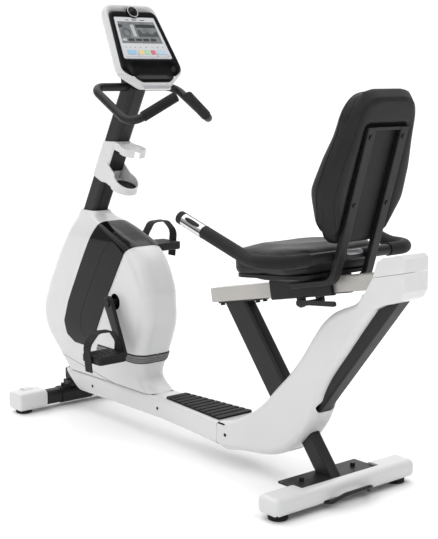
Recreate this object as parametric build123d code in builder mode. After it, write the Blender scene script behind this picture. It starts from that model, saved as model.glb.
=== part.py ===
from build123d import *
import math
import os

os.makedirs("parts", exist_ok=True)

# Recumbent exercise bike, millimetres.
# +X points forward (from the seat to the console), +Y to the rider's left, +Z up.
# The origin is on the floor under the middle of the bounding box.

# ---------------------------------------------------------------- driving dimensions
HALF_LENGTH = 818.0
CRANK_X, CRANK_Z = 359.0, 415.0
CRANK_LENGTH = 170.0
CRANK_ANGLE = 63.5
ARM_Y = 96.0
PEDAL_Y = 168.0
AXLE_R = 10.0

MAST_LEAN = 28.9
MAST_X, MAST_Z = 570.0, 677.0
MAST_DEPTH, MAST_WIDTH, MAST_WALL, MAST_CORNER = 66.0, 60.0, 2.5, 16.0

RAIL_RISE = 11.1
RAIL_X, RAIL_Z = -74.0, 492.0
RAIL_WIDTH, RAIL_HEIGHT, RAIL_WALL = 60.0, 42.0, 3.0
RAIL_LENGTH = 728.0

POST_TOP = (-158.0, 487.0)
POST_FOOT = (-465.0, 105.0)
POST_DEPTH, POST_WIDTH, POST_WALL = 87.0, 40.0, 3.0
LEG_FOOT = (-525.9, 61.0)
LEG_DEPTH, LEG_WIDTH = 57.0, 36.0

BEAM_Z, BEAM_WIDTH, BEAM_HEIGHT, BEAM_WALL = 105.0, 50.0, 42.0, 3.0
BEAM_FRONT_X = 728.0
ARM_FOOT = (-383.0, 105.0)
ARM_HEAD = (-777.0, 596.0)

FRONT_FOOT_X, REAR_FOOT_X = 716.0, -568.0
FRONT_PAD_Y, REAR_PAD_Y = 202.0, 224.0
PAD_R, PAD_H, STEM_R = 27.0, 12.0, 4.0
STAB_Z = 38.0

BACK_LEAN = 16.5
BACK_X, BACK_Z = -663.0, 805.0

FACE_LEAN = 31.0
FACE_X, FACE_Z = 332.0, 1287.0

FIT = 0.05

# ---------------------------------------------------------------- directions and planes
mast_up = Vector(-math.sin(math.radians(MAST_LEAN)), 0, math.cos(math.radians(MAST_LEAN)))
mast_front = Vector(math.cos(math.radians(MAST_LEAN)), 0, math.sin(math.radians(MAST_LEAN)))
mast_plane = Plane(origin=(MAST_X, 0, MAST_Z), x_dir=mast_front, z_dir=mast_up)

rail_back = Vector(-math.cos(math.radians(RAIL_RISE)), 0, math.sin(math.radians(RAIL_RISE)))
rail_up = Vector(math.sin(math.radians(RAIL_RISE)), 0, math.cos(math.radians(RAIL_RISE)))
# local x across the bike, local y up off the rail, local z along the rail to the rear
rail_plane = Plane(origin=(RAIL_X, 0, RAIL_Z), x_dir=(0, 1, 0), z_dir=rail_back)

back_up = Vector(-math.sin(math.radians(BACK_LEAN)), 0, math.cos(math.radians(BACK_LEAN)))
back_fwd = Vector(math.cos(math.radians(BACK_LEAN)), 0, math.sin(math.radians(BACK_LEAN)))
# local x to the rider's left, local y up the backrest, local z forward
back_plane = Plane(origin=(BACK_X, 0, BACK_Z), x_dir=(0, 1, 0), z_dir=back_fwd)

face_normal = Vector(-math.cos(math.radians(FACE_LEAN)), 0, math.sin(math.radians(FACE_LEAN)))
# local x to the rider's right, local y up the console face, local z towards the rider
face_plane = Plane(origin=(FACE_X, 0, FACE_Z), x_dir=(0, -1, 0), z_dir=face_normal)


def along(plane, z):
    """Plane moved by z along its own normal."""
    return plane.offset(z)


def xz_plane(y):
    """Drawing plane at a given y: local x is +X, local y is +Z, the normal is -Y."""
    return Plane(origin=(0, y, 0), x_dir=(1, 0, 0), z_dir=(0, -1, 0))


# ---------------------------------------------------------------- main frame
post_dir = Vector(POST_TOP[0] - POST_FOOT[0], 0, POST_TOP[1] - POST_FOOT[1]).normalized()
post_len = math.hypot(POST_TOP[0] - POST_FOOT[0], POST_TOP[1] - POST_FOOT[1])
post_plane = Plane(origin=(POST_FOOT[0], 0, POST_FOOT[1]), x_dir=(0, 1, 0), z_dir=post_dir)
POST_OVER = 60.0
STAB_TOP_Z = 61.0
POST_FROM, LEG_LENGTH = 93.0, 178.0
leg_plane = Plane(origin=(LEG_FOOT[0], 0, LEG_FOOT[1]), x_dir=(0, 1, 0), z_dir=post_dir)
rail_under = Plane(origin=Vector(RAIL_X, 0, RAIL_Z) - rail_up * (RAIL_HEIGHT / 2 + 5.0), z_dir=rail_up)

PLATE_FROM, PLATE_TO, PLATE_T = 12.0, 190.0, 5.0
BOLT_R, BOLT_HEAD_R, BOLT_HEAD_H = 4.0, 7.0, 6.0
plate_plane = Plane(origin=Vector(RAIL_X, 0, RAIL_Z) - rail_up * (RAIL_HEIGHT / 2 + PLATE_T),
                    x_dir=rail_back, z_dir=rail_up)
with BuildPart() as seat_post_tube:
    with BuildSketch(along(post_plane, POST_FROM)):
        RectangleRounded(POST_WIDTH, POST_DEPTH, 12)
        RectangleRounded(POST_WIDTH - 2 * POST_WALL, POST_DEPTH - 2 * POST_WALL, 9, mode=Mode.SUBTRACT)
    extrude(amount=post_len + POST_OVER - POST_FROM)
    # slimmer leg from the crossing down to the rear stabiliser
    with BuildSketch(along(leg_plane, -POST_OVER)):
        RectangleRounded(LEG_WIDTH, LEG_DEPTH, 10)
        RectangleRounded(LEG_WIDTH - 2 * POST_WALL, LEG_DEPTH - 2 * POST_WALL, 7, mode=Mode.SUBTRACT)
    extrude(amount=POST_OVER + LEG_LENGTH)
    split(bisect_by=Plane.XY.offset(STAB_TOP_Z), keep=Keep.TOP)
    split(bisect_by=rail_under, keep=Keep.BOTTOM)
    # flat plate on the post top, with the heads of the four rail bolts
    with BuildSketch(plate_plane):
        with Locations(((PLATE_FROM + PLATE_TO) / 2, 0)):
            RectangleRounded(PLATE_TO - PLATE_FROM, POST_WIDTH + 8, 6)
    extrude(amount=PLATE_T)
    with BuildSketch(plate_plane):
        with Locations((PLATE_FROM + 12, 14), (PLATE_FROM + 12, -14), (PLATE_TO - 12, 14), (PLATE_TO - 12, -14)):
            RegularPolygon(BOLT_HEAD_R, 6)
    extrude(amount=-BOLT_HEAD_H)
seat_post_tube.part.label = "seat_post_tube"
export_step(seat_post_tube.part, "parts/seat_post_tube.step")

# One bent tube, beam and rear arm, interrupted where the slanted post is welded through it.
with BuildPart() as base_beam_tube:
    with BuildLine(Plane.XZ) as beam_line:
        FilletPolyline((BEAM_FRONT_X, BEAM_Z), ARM_FOOT, ARM_HEAD, radius=90)
    with BuildSketch(Plane(origin=(BEAM_FRONT_X, 0, BEAM_Z), x_dir=(0, 1, 0), z_dir=(-1, 0, 0))):
        RectangleRounded(BEAM_WIDTH, BEAM_HEIGHT, 8)
        RectangleRounded(BEAM_WIDTH - 2 * BEAM_WALL, BEAM_HEIGHT - 2 * BEAM_WALL, 5, mode=Mode.SUBTRACT)
    sweep()
    split(bisect_by=rail_under, keep=Keep.BOTTOM)
    with BuildSketch(along(post_plane, POST_FROM - 0.2)):
        Rectangle(POST_WIDTH + 2 * BEAM_WIDTH, POST_DEPTH + 0.4)
    extrude(amount=post_len, mode=Mode.SUBTRACT)
    with BuildSketch(along(leg_plane, -POST_OVER)):
        Rectangle(LEG_WIDTH + 2 * BEAM_WIDTH, LEG_DEPTH + 0.4)
    extrude(amount=POST_OVER + LEG_LENGTH + 0.2, mode=Mode.SUBTRACT)
base_beam_tube.part.label = "base_beam_tube"
export_step(base_beam_tube.part, "parts/base_beam_tube.step")

# Seat rail: light grey box section with a closed front end.
RAIL_PLUG = 5.0
with BuildPart() as seat_rail:
    with BuildSketch(rail_plane):
        RectangleRounded(RAIL_WIDTH, RAIL_HEIGHT, 4)
        RectangleRounded(RAIL_WIDTH - 2 * RAIL_WALL, RAIL_HEIGHT - 2 * RAIL_WALL, 2, mode=Mode.SUBTRACT)
    extrude(amount=RAIL_LENGTH)
    with BuildSketch(along(rail_plane, -RAIL_PLUG)):
        RectangleRounded(RAIL_WIDTH, RAIL_HEIGHT, 4)
    extrude(amount=RAIL_PLUG)
seat_rail.part.label = "seat_rail"
export_step(seat_rail.part, "parts/seat_rail.step")

# Inner post of the mast: welded on the beam, bent back inside the drive housing.
FRONT_POST_D, FRONT_POST_W = 50.0, 50.0
BEAM_TOP_Z = BEAM_Z + BEAM_HEIGHT / 2
MAST_FOOT_UP = -110.0
INNER_UP = 25.0
post_foot = (646.0, BEAM_TOP_Z)
post_bend = (684.0, 470.0)
inner_top = Vector(MAST_X, 0, MAST_Z) + mast_up * INNER_UP
with BuildPart() as front_post_tube:
    with BuildLine(Plane.XZ) as post_line:
        FilletPolyline(post_foot, post_bend, (inner_top.X, inner_top.Z), radius=120)
    with BuildSketch(Plane(origin=(post_foot[0], 0, post_foot[1]), x_dir=(0, 1, 0),
                           z_dir=(post_bend[0] - post_foot[0], 0, post_bend[1] - post_foot[1]))):
        RectangleRounded(FRONT_POST_W, FRONT_POST_D, 13)
        RectangleRounded(FRONT_POST_W - 5, FRONT_POST_D - 5, 11, mode=Mode.SUBTRACT)
    sweep()
    split(bisect_by=Plane.XY.offset(BEAM_TOP_Z), keep=Keep.TOP)
front_post_tube.part.label = "front_post_tube"
export_step(front_post_tube.part, "parts/front_post_tube.step")

# Mast: slips over the inner post; a cross hole near the top takes the handlebar.
BAR_R, BAR_WALL = 12.7, 1.8
BAR_X, BAR_Z = 341.0, 1090.0
MAST_TOP_UP = 481.0
BRACKET_HALF = 30.0
with BuildPart() as mast_tube:
    with BuildSketch(along(mast_plane, MAST_FOOT_UP)):
        RectangleRounded(MAST_DEPTH, MAST_WIDTH, MAST_CORNER)
        RectangleRounded(MAST_DEPTH - 2 * MAST_WALL, MAST_WIDTH - 2 * MAST_WALL, MAST_CORNER - MAST_WALL,
                         mode=Mode.SUBTRACT)
    extrude(amount=MAST_TOP_UP - MAST_FOOT_UP)
    # bracket on the mast top that carries the console
    with BuildSketch(xz_plane(BRACKET_HALF)):
        with BuildLine():
            FilletPolyline((300, 1098), (368, 1098), (372, 1132), (354, 1214), (343, 1214), (304, 1150),
                           close=True, radius=4)
        make_face()
    extrude(amount=2 * BRACKET_HALF)
    with Locations(Location((BAR_X, 0, BAR_Z), (90, 0, 0))):
        Cylinder(BAR_R + FIT, 2 * MAST_WIDTH, mode=Mode.SUBTRACT)
mast_tube.part.label = "mast_tube"
export_step(mast_tube.part, "parts/mast_tube.step")

# Crank frame: bottom bracket shell with its bearings, the upright and the brace.
SHELL_R, SHELL_BORE, SHELL_HALF, BEARING_W = 23.0, 18.0, 31.0, 14.0
BRACE_END = (652.0, 533.0)
brace_dir = Vector(BRACE_END[0] - CRANK_X, 0, BRACE_END[1] - CRANK_Z).normalized()
with BuildPart() as crank_frame:
    with BuildSketch(Plane.XY.offset(BEAM_TOP_Z)):
        with Locations((CRANK_X, 0)):
            RectangleRounded(44, 40, 6)
            RectangleRounded(39, 35, 4, mode=Mode.SUBTRACT)
    extrude(amount=CRANK_Z - BEAM_TOP_Z)
    with BuildSketch(Plane(origin=(CRANK_X, 0, CRANK_Z), x_dir=(0, 1, 0), z_dir=brace_dir)):
        RectangleRounded(40, 32, 6)
        RectangleRounded(35, 27, 4, mode=Mode.SUBTRACT)
    extrude(amount=math.hypot(BRACE_END[0] - CRANK_X, BRACE_END[1] - CRANK_Z))
    with BuildSketch(along(mast_plane, MAST_FOOT_UP - 80)):
        RectangleRounded(MAST_DEPTH, 2 * MAST_WIDTH, 4)
    extrude(amount=200, mode=Mode.SUBTRACT)
    with BuildSketch(xz_plane(SHELL_HALF)):
        with Locations((CRANK_X, CRANK_Z)):
            Circle(SHELL_R)
    extrude(amount=2 * SHELL_HALF)
    with BuildSketch(xz_plane(SHELL_HALF + 1)):
        with Locations((CRANK_X, CRANK_Z)):
            Circle(SHELL_BORE)
    extrude(amount=2 * SHELL_HALF + 2, mode=Mode.SUBTRACT)
    # two ball bearing units pressed into the shell
    for y in (SHELL_HALF, -SHELL_HALF + BEARING_W):
        with BuildSketch(xz_plane(y)):
            with Locations((CRANK_X, CRANK_Z)):
                Circle(SHELL_BORE - FIT / 2)
                Circle(AXLE_R + FIT, mode=Mode.SUBTRACT)
        extrude(amount=BEARING_W)
crank_frame.part.label = "crank_frame"
export_step(crank_frame.part, "parts/crank_frame.step")

# ---------------------------------------------------------------- crankset
arm_dir = Vector(-math.cos(math.radians(CRANK_ANGLE)), 0, -math.sin(math.radians(CRANK_ANGLE)))
ARM_T = 14.0
AXLE_HALF = ARM_Y + ARM_T / 2
PULLEY_R, PULLEY_Y, BELT_W = 105.0, 40.0, 12.0
with BuildPart() as crank_axle:
    with BuildSketch(xz_plane(AXLE_HALF)):
        with Locations((CRANK_X, CRANK_Z)):
            Circle(AXLE_R)
    extrude(amount=2 * AXLE_HALF)
    with BuildSketch(xz_plane(PULLEY_Y + BELT_W / 2 + 1)):
        with Locations((CRANK_X, CRANK_Z)):
            Circle(PULLEY_R)
            with PolarLocations(62, 6):
                Circle(22, mode=Mode.SUBTRACT)
    extrude(amount=BELT_W + 2)
crank_axle.part.label = "crank_axle_and_pulley"
export_step(crank_axle.part, "parts/crank_axle_and_pulley.step")

SPINDLE_R, SPINDLE_OUT, SPINDLE_END_GAP = 6.0, 212.0, 1.0
with BuildPart() as crank_caps:
    for y in (AXLE_HALF + 4, -AXLE_HALF):
        with BuildSketch(xz_plane(y)):
            with Locations((CRANK_X, CRANK_Z)):
                Circle(14)
        extrude(amount=4)
crank_caps.part.label = "crank_caps"
export_step(crank_caps.part, "parts/crank_caps.step")

for side, side_name in ((1, "left"), (-1, "right")):
    tip = Vector(CRANK_X, 0, CRANK_Z) + arm_dir * CRANK_LENGTH * side
    outer_y = side * ARM_Y + ARM_T / 2
    with BuildPart() as crank_arm:
        with BuildSketch(xz_plane(outer_y)):
            with Locations((CRANK_X, CRANK_Z)):
                Circle(21)
            with Locations((tip.X, tip.Z)):
                Circle(14)
            make_hull()
            with Locations((CRANK_X, CRANK_Z)):
                Circle(AXLE_R + FIT, mode=Mode.SUBTRACT)
        extrude(amount=ARM_T)
        fillet(crank_arm.edges().filter_by(Plane.XZ).filter_by(GeomType.LINE), 3)
        with BuildSketch(xz_plane(max(side * ARM_Y, side * SPINDLE_OUT))):
            with Locations((tip.X, tip.Z)):
                Circle(SPINDLE_R)
        extrude(amount=SPINDLE_OUT - ARM_Y)
    crank_arm.part.label = "crank_arm_" + side_name
    export_step(crank_arm.part, "parts/crank_arm_" + side_name + ".step")

    # Pedal: tread frame with end rails round a spindle barrel; blind bore on the spindle.
    tread = Plane(origin=(tip.X, side * PEDAL_Y, tip.Z), x_dir=(1, 0, 0), z_dir=(0, 0, 1))
    with BuildPart() as pedal:
        with BuildSketch(along(tread, -13)):
            RectangleRounded(100, 104, 12)
        extrude(amount=26)
        fillet(pedal.edges().group_by(Axis.Z)[-1], 4)
        fillet(pedal.edges().group_by(Axis.Z)[0], 6)
        with BuildSketch(along(tread, 9)):
            with GridLocations(0, 16, 1, 5):
                SlotOverall(78, 4)
        extrude(amount=4, mode=Mode.SUBTRACT)
        bore_from = side * PEDAL_Y - side * 52
        bore_to = side * (SPINDLE_OUT + SPINDLE_END_GAP)
        with BuildSketch(xz_plane(max(bore_from, bore_to))):
            with Locations((tip.X, tip.Z)):
                Circle(SPINDLE_R + FIT)
        extrude(amount=abs(bore_to - bore_from), mode=Mode.SUBTRACT)
    pedal.part.label = "pedal_" + side_name
    export_step(pedal.part, "parts/pedal_" + side_name + ".step")

    # Rubber foot strap: an arch over the tread, its foot screwed to both ends of the pedal.
    strap_plane = Plane(origin=(tip.X + 6, side * PEDAL_Y, tip.Z), x_dir=(0, side, 0), z_dir=(side, 0, 0))
    with BuildPart() as pedal_strap:
        with BuildSketch(along(strap_plane, -18)):
            with BuildLine():
                FilletPolyline((-52.3, -8), (-56, 40), (-30, 78), (26, 80), (60, 44), (52.3, -40),
                               radius=[24, 22, 24, 40])
                offset(amount=3, side=Side.LEFT)
            make_face()
        extrude(amount=36)
        with BuildSketch(xz_plane(max(side * PEDAL_Y, side * ARM_Y))):
            with Locations((tip.X, tip.Z)):
                Circle(SPINDLE_R + 1.2)
        extrude(amount=PEDAL_Y - ARM_Y, mode=Mode.SUBTRACT)
    pedal_strap.part.label = "pedal_strap_" + side_name
    export_step(pedal_strap.part, "parts/pedal_strap_" + side_name + ".step")

# ---------------------------------------------------------------- flywheel, belt and brake
FLY_X, FLY_Z, FLY_R, FLY_T = 520.0, 272.0, 108.0, 36.0
FLY_AXLE_R, SMALL_PULLEY_R = 6.0, 20.0
BRACKET_Y, BRACKET_T = 25.0, 4.0
YOKE_PIN_X, YOKE_PIN_Z, YOKE_PIN_R = 402.0, 190.0, 5.0
with BuildPart() as drive_brackets:
    for y in (BRACKET_Y + BRACKET_T, -BRACKET_Y):
        with BuildSketch(xz_plane(y)):
            with BuildLine():
                Polyline((FLY_X - 70, BEAM_Z - 18), (FLY_X + 70, BEAM_Z - 18), (FLY_X + 22, FLY_Z + 16),
                         (FLY_X - 22, FLY_Z + 16), close=True)
            make_face()
        extrude(amount=BRACKET_T)
    with BuildSketch(xz_plane(PULLEY_Y + 14)):
        with Locations((FLY_X, FLY_Z)):
            Circle(FLY_AXLE_R)
    extrude(amount=PULLEY_Y + 14 + BRACKET_Y + BRACKET_T + 6)
    for y in (18, -14):
        with BuildSketch(xz_plane(y)):
            with BuildLine():
                Polyline((YOKE_PIN_X - 12, BEAM_TOP_Z), (YOKE_PIN_X + 12, BEAM_TOP_Z),
                         (YOKE_PIN_X + 12, YOKE_PIN_Z + 12), (YOKE_PIN_X - 12, YOKE_PIN_Z + 12), close=True)
            make_face()
        extrude(amount=4)
    with BuildSketch(xz_plane(18)):
        with Locations((YOKE_PIN_X, YOKE_PIN_Z)):
            Circle(YOKE_PIN_R)
    extrude(amount=36)
drive_brackets.part.label = "drive_brackets"
export_step(drive_brackets.part, "parts/drive_brackets.step")

# Flywheel: heavy rim and thin web; its belt pulley sits outside the left bracket.
with BuildPart() as flywheel:
    with BuildSketch(xz_plane(FLY_T / 2)):
        with Locations((FLY_X, FLY_Z)):
            Circle(FLY_R)
    extrude(amount=FLY_T)
    for y in (FLY_T / 2, -FLY_T / 2 + 10):
        with BuildSketch(xz_plane(y)):
            with Locations((FLY_X, FLY_Z)):
                Circle(FLY_R - 18)
                Circle(24, mode=Mode.SUBTRACT)
        extrude(amount=10, mode=Mode.SUBTRACT)
    with BuildSketch(xz_plane(PULLEY_Y + BELT_W / 2 + 1)):
        with Locations((FLY_X, FLY_Z)):
            Circle(SMALL_PULLEY_R)
    extrude(amount=BELT_W + 2)
    with BuildSketch(xz_plane(PULLEY_Y + BELT_W)):
        with Locations((FLY_X, FLY_Z)):
            Circle(FLY_AXLE_R + FIT)
    extrude(amount=2 * PULLEY_Y, mode=Mode.SUBTRACT)
flywheel.part.label = "flywheel"
export_step(flywheel.part, "parts/flywheel.step")

# Belt: both outside tangents round the two pulleys.
BELT_GAP, BELT_T = 0.5, 3.5
with BuildPart() as drive_belt:
    with BuildSketch(xz_plane(PULLEY_Y + BELT_W / 2)):
        with Locations((CRANK_X, CRANK_Z)):
            Circle(PULLEY_R + BELT_GAP + BELT_T)
        with Locations((FLY_X, FLY_Z)):
            Circle(SMALL_PULLEY_R + BELT_GAP + BELT_T)
        make_hull()
        with BuildSketch(mode=Mode.SUBTRACT):
            with Locations((CRANK_X, CRANK_Z)):
                Circle(PULLEY_R + BELT_GAP)
            with Locations((FLY_X, FLY_Z)):
                Circle(SMALL_PULLEY_R + BELT_GAP)
            make_hull()
    extrude(amount=BELT_W)
drive_belt.part.label = "drive_belt"
export_step(drive_belt.part, "parts/drive_belt.step")

# Magnet yoke: a curved shoe round the flywheel rim, swinging on a pin above the beam.
YOKE_GAP, YOKE_T = 8.0, 10.0
with BuildPart() as brake_yoke:
    with BuildSketch(xz_plane(13)):
        with Locations((FLY_X, FLY_Z)):
            Circle(FLY_R + YOKE_GAP + YOKE_T)
            Circle(FLY_R + YOKE_GAP, mode=Mode.SUBTRACT)
        with BuildSketch(mode=Mode.INTERSECT):
            with BuildLine():
                Polyline((FLY_X - 160, FLY_Z - 90), (FLY_X, FLY_Z), (FLY_X - 160, FLY_Z + 40), close=True)
            make_face()
        with Locations((YOKE_PIN_X, YOKE_PIN_Z)):
            Circle(11)
        with Locations((YOKE_PIN_X + 4, YOKE_PIN_Z + 13)):
            Rectangle(12, 20)
        with Locations((YOKE_PIN_X, YOKE_PIN_Z)):
            Circle(YOKE_PIN_R + FIT, mode=Mode.SUBTRACT)
    extrude(amount=26)
brake_yoke.part.label = "brake_yoke"
export_step(brake_yoke.part, "parts/brake_yoke.step")

# ---------------------------------------------------------------- drive housing
# Level sections: height, front x, rear x, half width, front and rear corner radius.
HOUSING = (
    (138, 686, 198, 52, 46, 40),
    (165, 716, 238, 53, 47, 38),
    (200, 750, 251, 57, 50, 38),
    (235, 780, 241, 64, 54, 40),
    (275, 806, 226, 70, 58, 44),
    (325, HALF_LENGTH, 206, 72, 60, 46),
    (390, 800, 194, 72, 60, 46),
    (450, 768, 198, 72, 60, 46),
    (500, 738, 214, 72, 60, 46),
    (550, 704, 243, 72, 58, 46),
    (590, 674, 288, 71, 56, 46),
    (620, 652, 350, 68, 52, 44),
    (645, 634, 415, 60, 46, 38),
    (668, 618, 492, 48, 34, 26),
    (688, 609, 519, 36, 18, 18),
)
SHELL_WALL = 3.0


def housing_body(inset):
    """Housing loft with every section drawn in by inset."""
    with BuildPart() as body:
        for z, x_front, x_rear, half, r_front, r_rear in HOUSING:
            with BuildSketch(Plane.XY.offset(z)):
                with BuildLine():
                    FilletPolyline((x_rear + inset, inset - half), (x_front - inset, inset - half),
                                   (x_front - inset, half - inset), (x_rear + inset, half - inset),
                                   close=True,
                                   radius=[r_rear - inset, r_front - inset, r_front - inset, r_rear - inset])
                make_face()
        loft()
    return body.part


outer_body = housing_body(0)
inner_body = housing_body(SHELL_WALL)
AXLE_HOLE_R = 26.0
INLET_X, INLET_Z, INLET_R = 741.0, 190.0, 6.0
for side, side_name in ((1, "left"), (-1, "right")):
    with BuildPart() as housing:
        add(outer_body)
        add(inner_body, mode=Mode.SUBTRACT)
        with Locations(Location((CRANK_X, 0, CRANK_Z), (90, 0, 0))):
            Cylinder(AXLE_HOLE_R, 200, mode=Mode.SUBTRACT)
        with Locations(Location((INLET_X, 0, INLET_Z), (0, 90, 0))):
            Cylinder(INLET_R + FIT, 80, mode=Mode.SUBTRACT)
        split(bisect_by=Plane.XZ, keep=Keep.BOTTOM if side > 0 else Keep.TOP)
    housing.part.label = "housing_" + side_name
    export_step(housing.part, "parts/housing_" + side_name + ".step")

# Gloss wrap: two saddle panels over the top and both sides of the housing.
WRAP_T, WRAP_GAP, SEAM = 3.0, 0.3, 1.2
WRAP_OUTLINE = ((262, 720), (262, 655), (285, 612), (325, 547), (395, 435), (458, 318), (486, 262), (513, 242),
                (599, 243), (640, 265), (652, 310), (627, 377), (568, 482), (497, 601), (462, 655), (462, 720))
SEAM_LINE = ((345, 720), (345, 655), (365, 625), (421, 565), (480, 469), (545, 358), (555, 325), (543, 286),
             (512, 261), (512, 200))
wrap_outer = housing_body(-WRAP_T)
wrap_inner = housing_body(-WRAP_GAP)
with BuildPart() as wrap_panels:
    with BuildSketch(xz_plane(100)):
        with BuildLine():
            FilletPolyline(*WRAP_OUTLINE, close=True, radius=12)
        make_face()
        with BuildSketch(mode=Mode.SUBTRACT):
            with BuildLine():
                Polyline(*SEAM_LINE, *[(x + SEAM, z) for x, z in reversed(SEAM_LINE)], close=True)
            make_face()
    extrude(amount=200)
    add(wrap_outer, mode=Mode.INTERSECT)
    add(wrap_inner, mode=Mode.SUBTRACT)
wrap_panels.part.label = "wrap_panels"
export_step(wrap_panels.part, "parts/wrap_panels.step")

# Low-voltage inlet on the nose of the housing: a short barrel jack, blind from the front.
JACK_R, JACK_DEPTH = 2.75, 10.0
with BuildPart() as power_inlet:
    with Locations(Location((INLET_X, 0, INLET_Z), (0, 90, 0))):
        Cylinder(INLET_R, 24)
        with Locations((0, 0, 12 - JACK_DEPTH / 2)):
            Cylinder(JACK_R, JACK_DEPTH, mode=Mode.SUBTRACT)
power_inlet.part.label = "power_inlet"
export_step(power_inlet.part, "parts/power_inlet.step")

# ---------------------------------------------------------------- beam cover and foot pad
# Upright sections of the long cover: x, half width, bottom, top.
COVER_TOP = 138.0
BEAM_COVER = ((690, 54, 71), (160, 54, 71), (0, 66, 69), (-150, 80, 66))


def beam_cover_body(inset):
    """Ruled body of the beam cover, every section drawn in by inset."""
    with BuildPart() as body:
        for x, half, low in BEAM_COVER:
            with BuildSketch(Plane(origin=(x, 0, (low + COVER_TOP) / 2), x_dir=(0, 1, 0), z_dir=(1, 0, 0))):
                RectangleRounded(2 * (half - inset), COVER_TOP - low - 2 * inset, 16 - inset)
        loft(ruled=True)
    return body.part


nose_cut = Plane(origin=(594, 0, 71), x_dir=(0, 1, 0), z_dir=(67, 0, -92))
with BuildPart() as beam_cover:
    add(beam_cover_body(0))
    add(beam_cover_body(SHELL_WALL), mode=Mode.SUBTRACT)
    with Locations(((198 + 690) / 2, 0, COVER_TOP)):
        Box(690 - 198, 86, 30, mode=Mode.SUBTRACT)
    split(bisect_by=nose_cut, keep=Keep.BOTTOM)
beam_cover.part.label = "beam_cover"
export_step(beam_cover.part, "parts/beam_cover.step")

PAD_T, RIB_PITCH, RIB_COUNT = 6.0, 26.0, 10
with BuildPart() as foot_pad:
    with BuildSketch(Plane.XY.offset(COVER_TOP + 0.2)):
        with BuildLine():
            FilletPolyline((-146, -66), (140, -40), (140, 40), (-146, 66), close=True, radius=7)
        make_face()
    extrude(amount=PAD_T)
    with BuildSketch(Plane.XY.offset(COVER_TOP + PAD_T - 2.3)):
        with Locations((-3, 0)):
            with GridLocations(RIB_PITCH, 1, RIB_COUNT, 1):
                Rectangle(7, 200)
    extrude(amount=5, mode=Mode.SUBTRACT)
foot_pad.part.label = "foot_pad"
export_step(foot_pad.part, "parts/foot_pad.step")

# ---------------------------------------------------------------- rear cover
# Sections across the bent cover: lower point, upper point (x, z), half width.
REAR_COVER = (
    ((-151, 66), (-151, 138), 80),
    ((-235, 66), (-226, 158), 71),
    ((-320, 73), (-282, 195), 59),
    ((-398, 97), (-322, 232), 50),
    ((-462, 150), (-352, 266), 46),
    ((-508, 216), (-394, 308), 44),
    ((-560, 334), (-470, 402), 43),
    ((-623, 418), (-533, 486), 43),
    ((-652, 457), (-572, 517), 43),
    ((-690, 507), (-628, 542), 43),
    ((-722, 549), (-668, 578), 43),
)


def rear_cover_body(inset):
    """Smooth loft of the rear cover, every section drawn in by inset."""
    with BuildPart() as body:
        for low, high, half in REAR_COVER:
            span = math.hypot(high[0] - low[0], high[1] - low[1])
            middle = ((low[0] + high[0]) / 2, 0, (low[1] + high[1]) / 2)
            up = (high[0] - low[0], 0, high[1] - low[1])
            across = Vector(*up).cross(Vector(0, 1, 0))
            with BuildSketch(Plane(origin=middle, x_dir=(0, 1, 0), z_dir=across)):
                RectangleRounded(2 * (half - inset), span - 2 * inset, 20 - inset)
        loft()
    return body.part


CHANNEL_LOW, CHANNEL_HIGH, CHANNEL_W = (-512.0, 232.0), (-745.0, 541.0), 78.0
channel_mid = ((CHANNEL_LOW[0] + CHANNEL_HIGH[0]) / 2, 0, (CHANNEL_LOW[1] + CHANNEL_HIGH[1]) / 2)
channel_len = math.hypot(CHANNEL_HIGH[0] - CHANNEL_LOW[0], CHANNEL_HIGH[1] - CHANNEL_LOW[1])
channel_up = Vector(CHANNEL_HIGH[0] - CHANNEL_LOW[0], 0, CHANNEL_HIGH[1] - CHANNEL_LOW[1])
channel_out = Vector(-channel_up.Z, 0, channel_up.X)
channel_plane = Plane(origin=channel_mid, x_dir=channel_up, z_dir=channel_out)
arm_run = Vector(ARM_HEAD[0] - ARM_FOOT[0], 0, ARM_HEAD[1] - ARM_FOOT[1]).normalized()
arm_plane = Plane(origin=Vector(ARM_FOOT[0], 0, ARM_FOOT[1]) - arm_run * 24, x_dir=(0, 1, 0), z_dir=arm_run)
HEAD_OUTLINE = ((-660, 541), (-714, 627), (-818, 651), (-818, 604), (-806, 583), (-786, 572), (-750, 562),
                (-722, 547))
CAP_OUTLINE = ((-714, 628), (-727, 668), (-745, 681), (-806, 694), (-818, 686), (-818, 652))
rear_outer = rear_cover_body(0)
rear_inner = rear_cover_body(SHELL_WALL)
for side, side_name in ((1, "left"), (-1, "right")):
    with BuildPart() as rear_cover:
        add(rear_outer)
        add(rear_inner, mode=Mode.SUBTRACT)
        with BuildSketch(along(post_plane, POST_FROM - 10)):
            RectangleRounded(POST_WIDTH + 1, POST_DEPTH + 1, 12)
        extrude(amount=post_len, mode=Mode.SUBTRACT)
        with BuildSketch(along(leg_plane, -POST_OVER)):
            RectangleRounded(LEG_WIDTH + 1, LEG_DEPTH + 1, 10)
        extrude(amount=POST_OVER + LEG_LENGTH + 10, mode=Mode.SUBTRACT)
        with BuildSketch(along(channel_plane, -10)):
            RectangleRounded(channel_len, CHANNEL_W, 20)
        extrude(amount=60, mode=Mode.SUBTRACT)
        with BuildSketch(xz_plane(100)):
            with BuildLine():
                Polyline(*HEAD_OUTLINE, close=True)
            make_face()
        extrude(amount=200, mode=Mode.SUBTRACT)
        with BuildSketch(arm_plane):
            RectangleRounded(BEAM_WIDTH + 1, BEAM_HEIGHT + 1, 4)
        extrude(amount=664, mode=Mode.SUBTRACT)
        with Locations((-160, 0, 105)):
            Box(40, 150, 60, mode=Mode.SUBTRACT)
        split(bisect_by=Plane.XZ, keep=Keep.BOTTOM if side > 0 else Keep.TOP)
    rear_cover.part.label = "rear_cover_" + side_name
    export_step(rear_cover.part, "parts/rear_cover_" + side_name + ".step")

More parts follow.
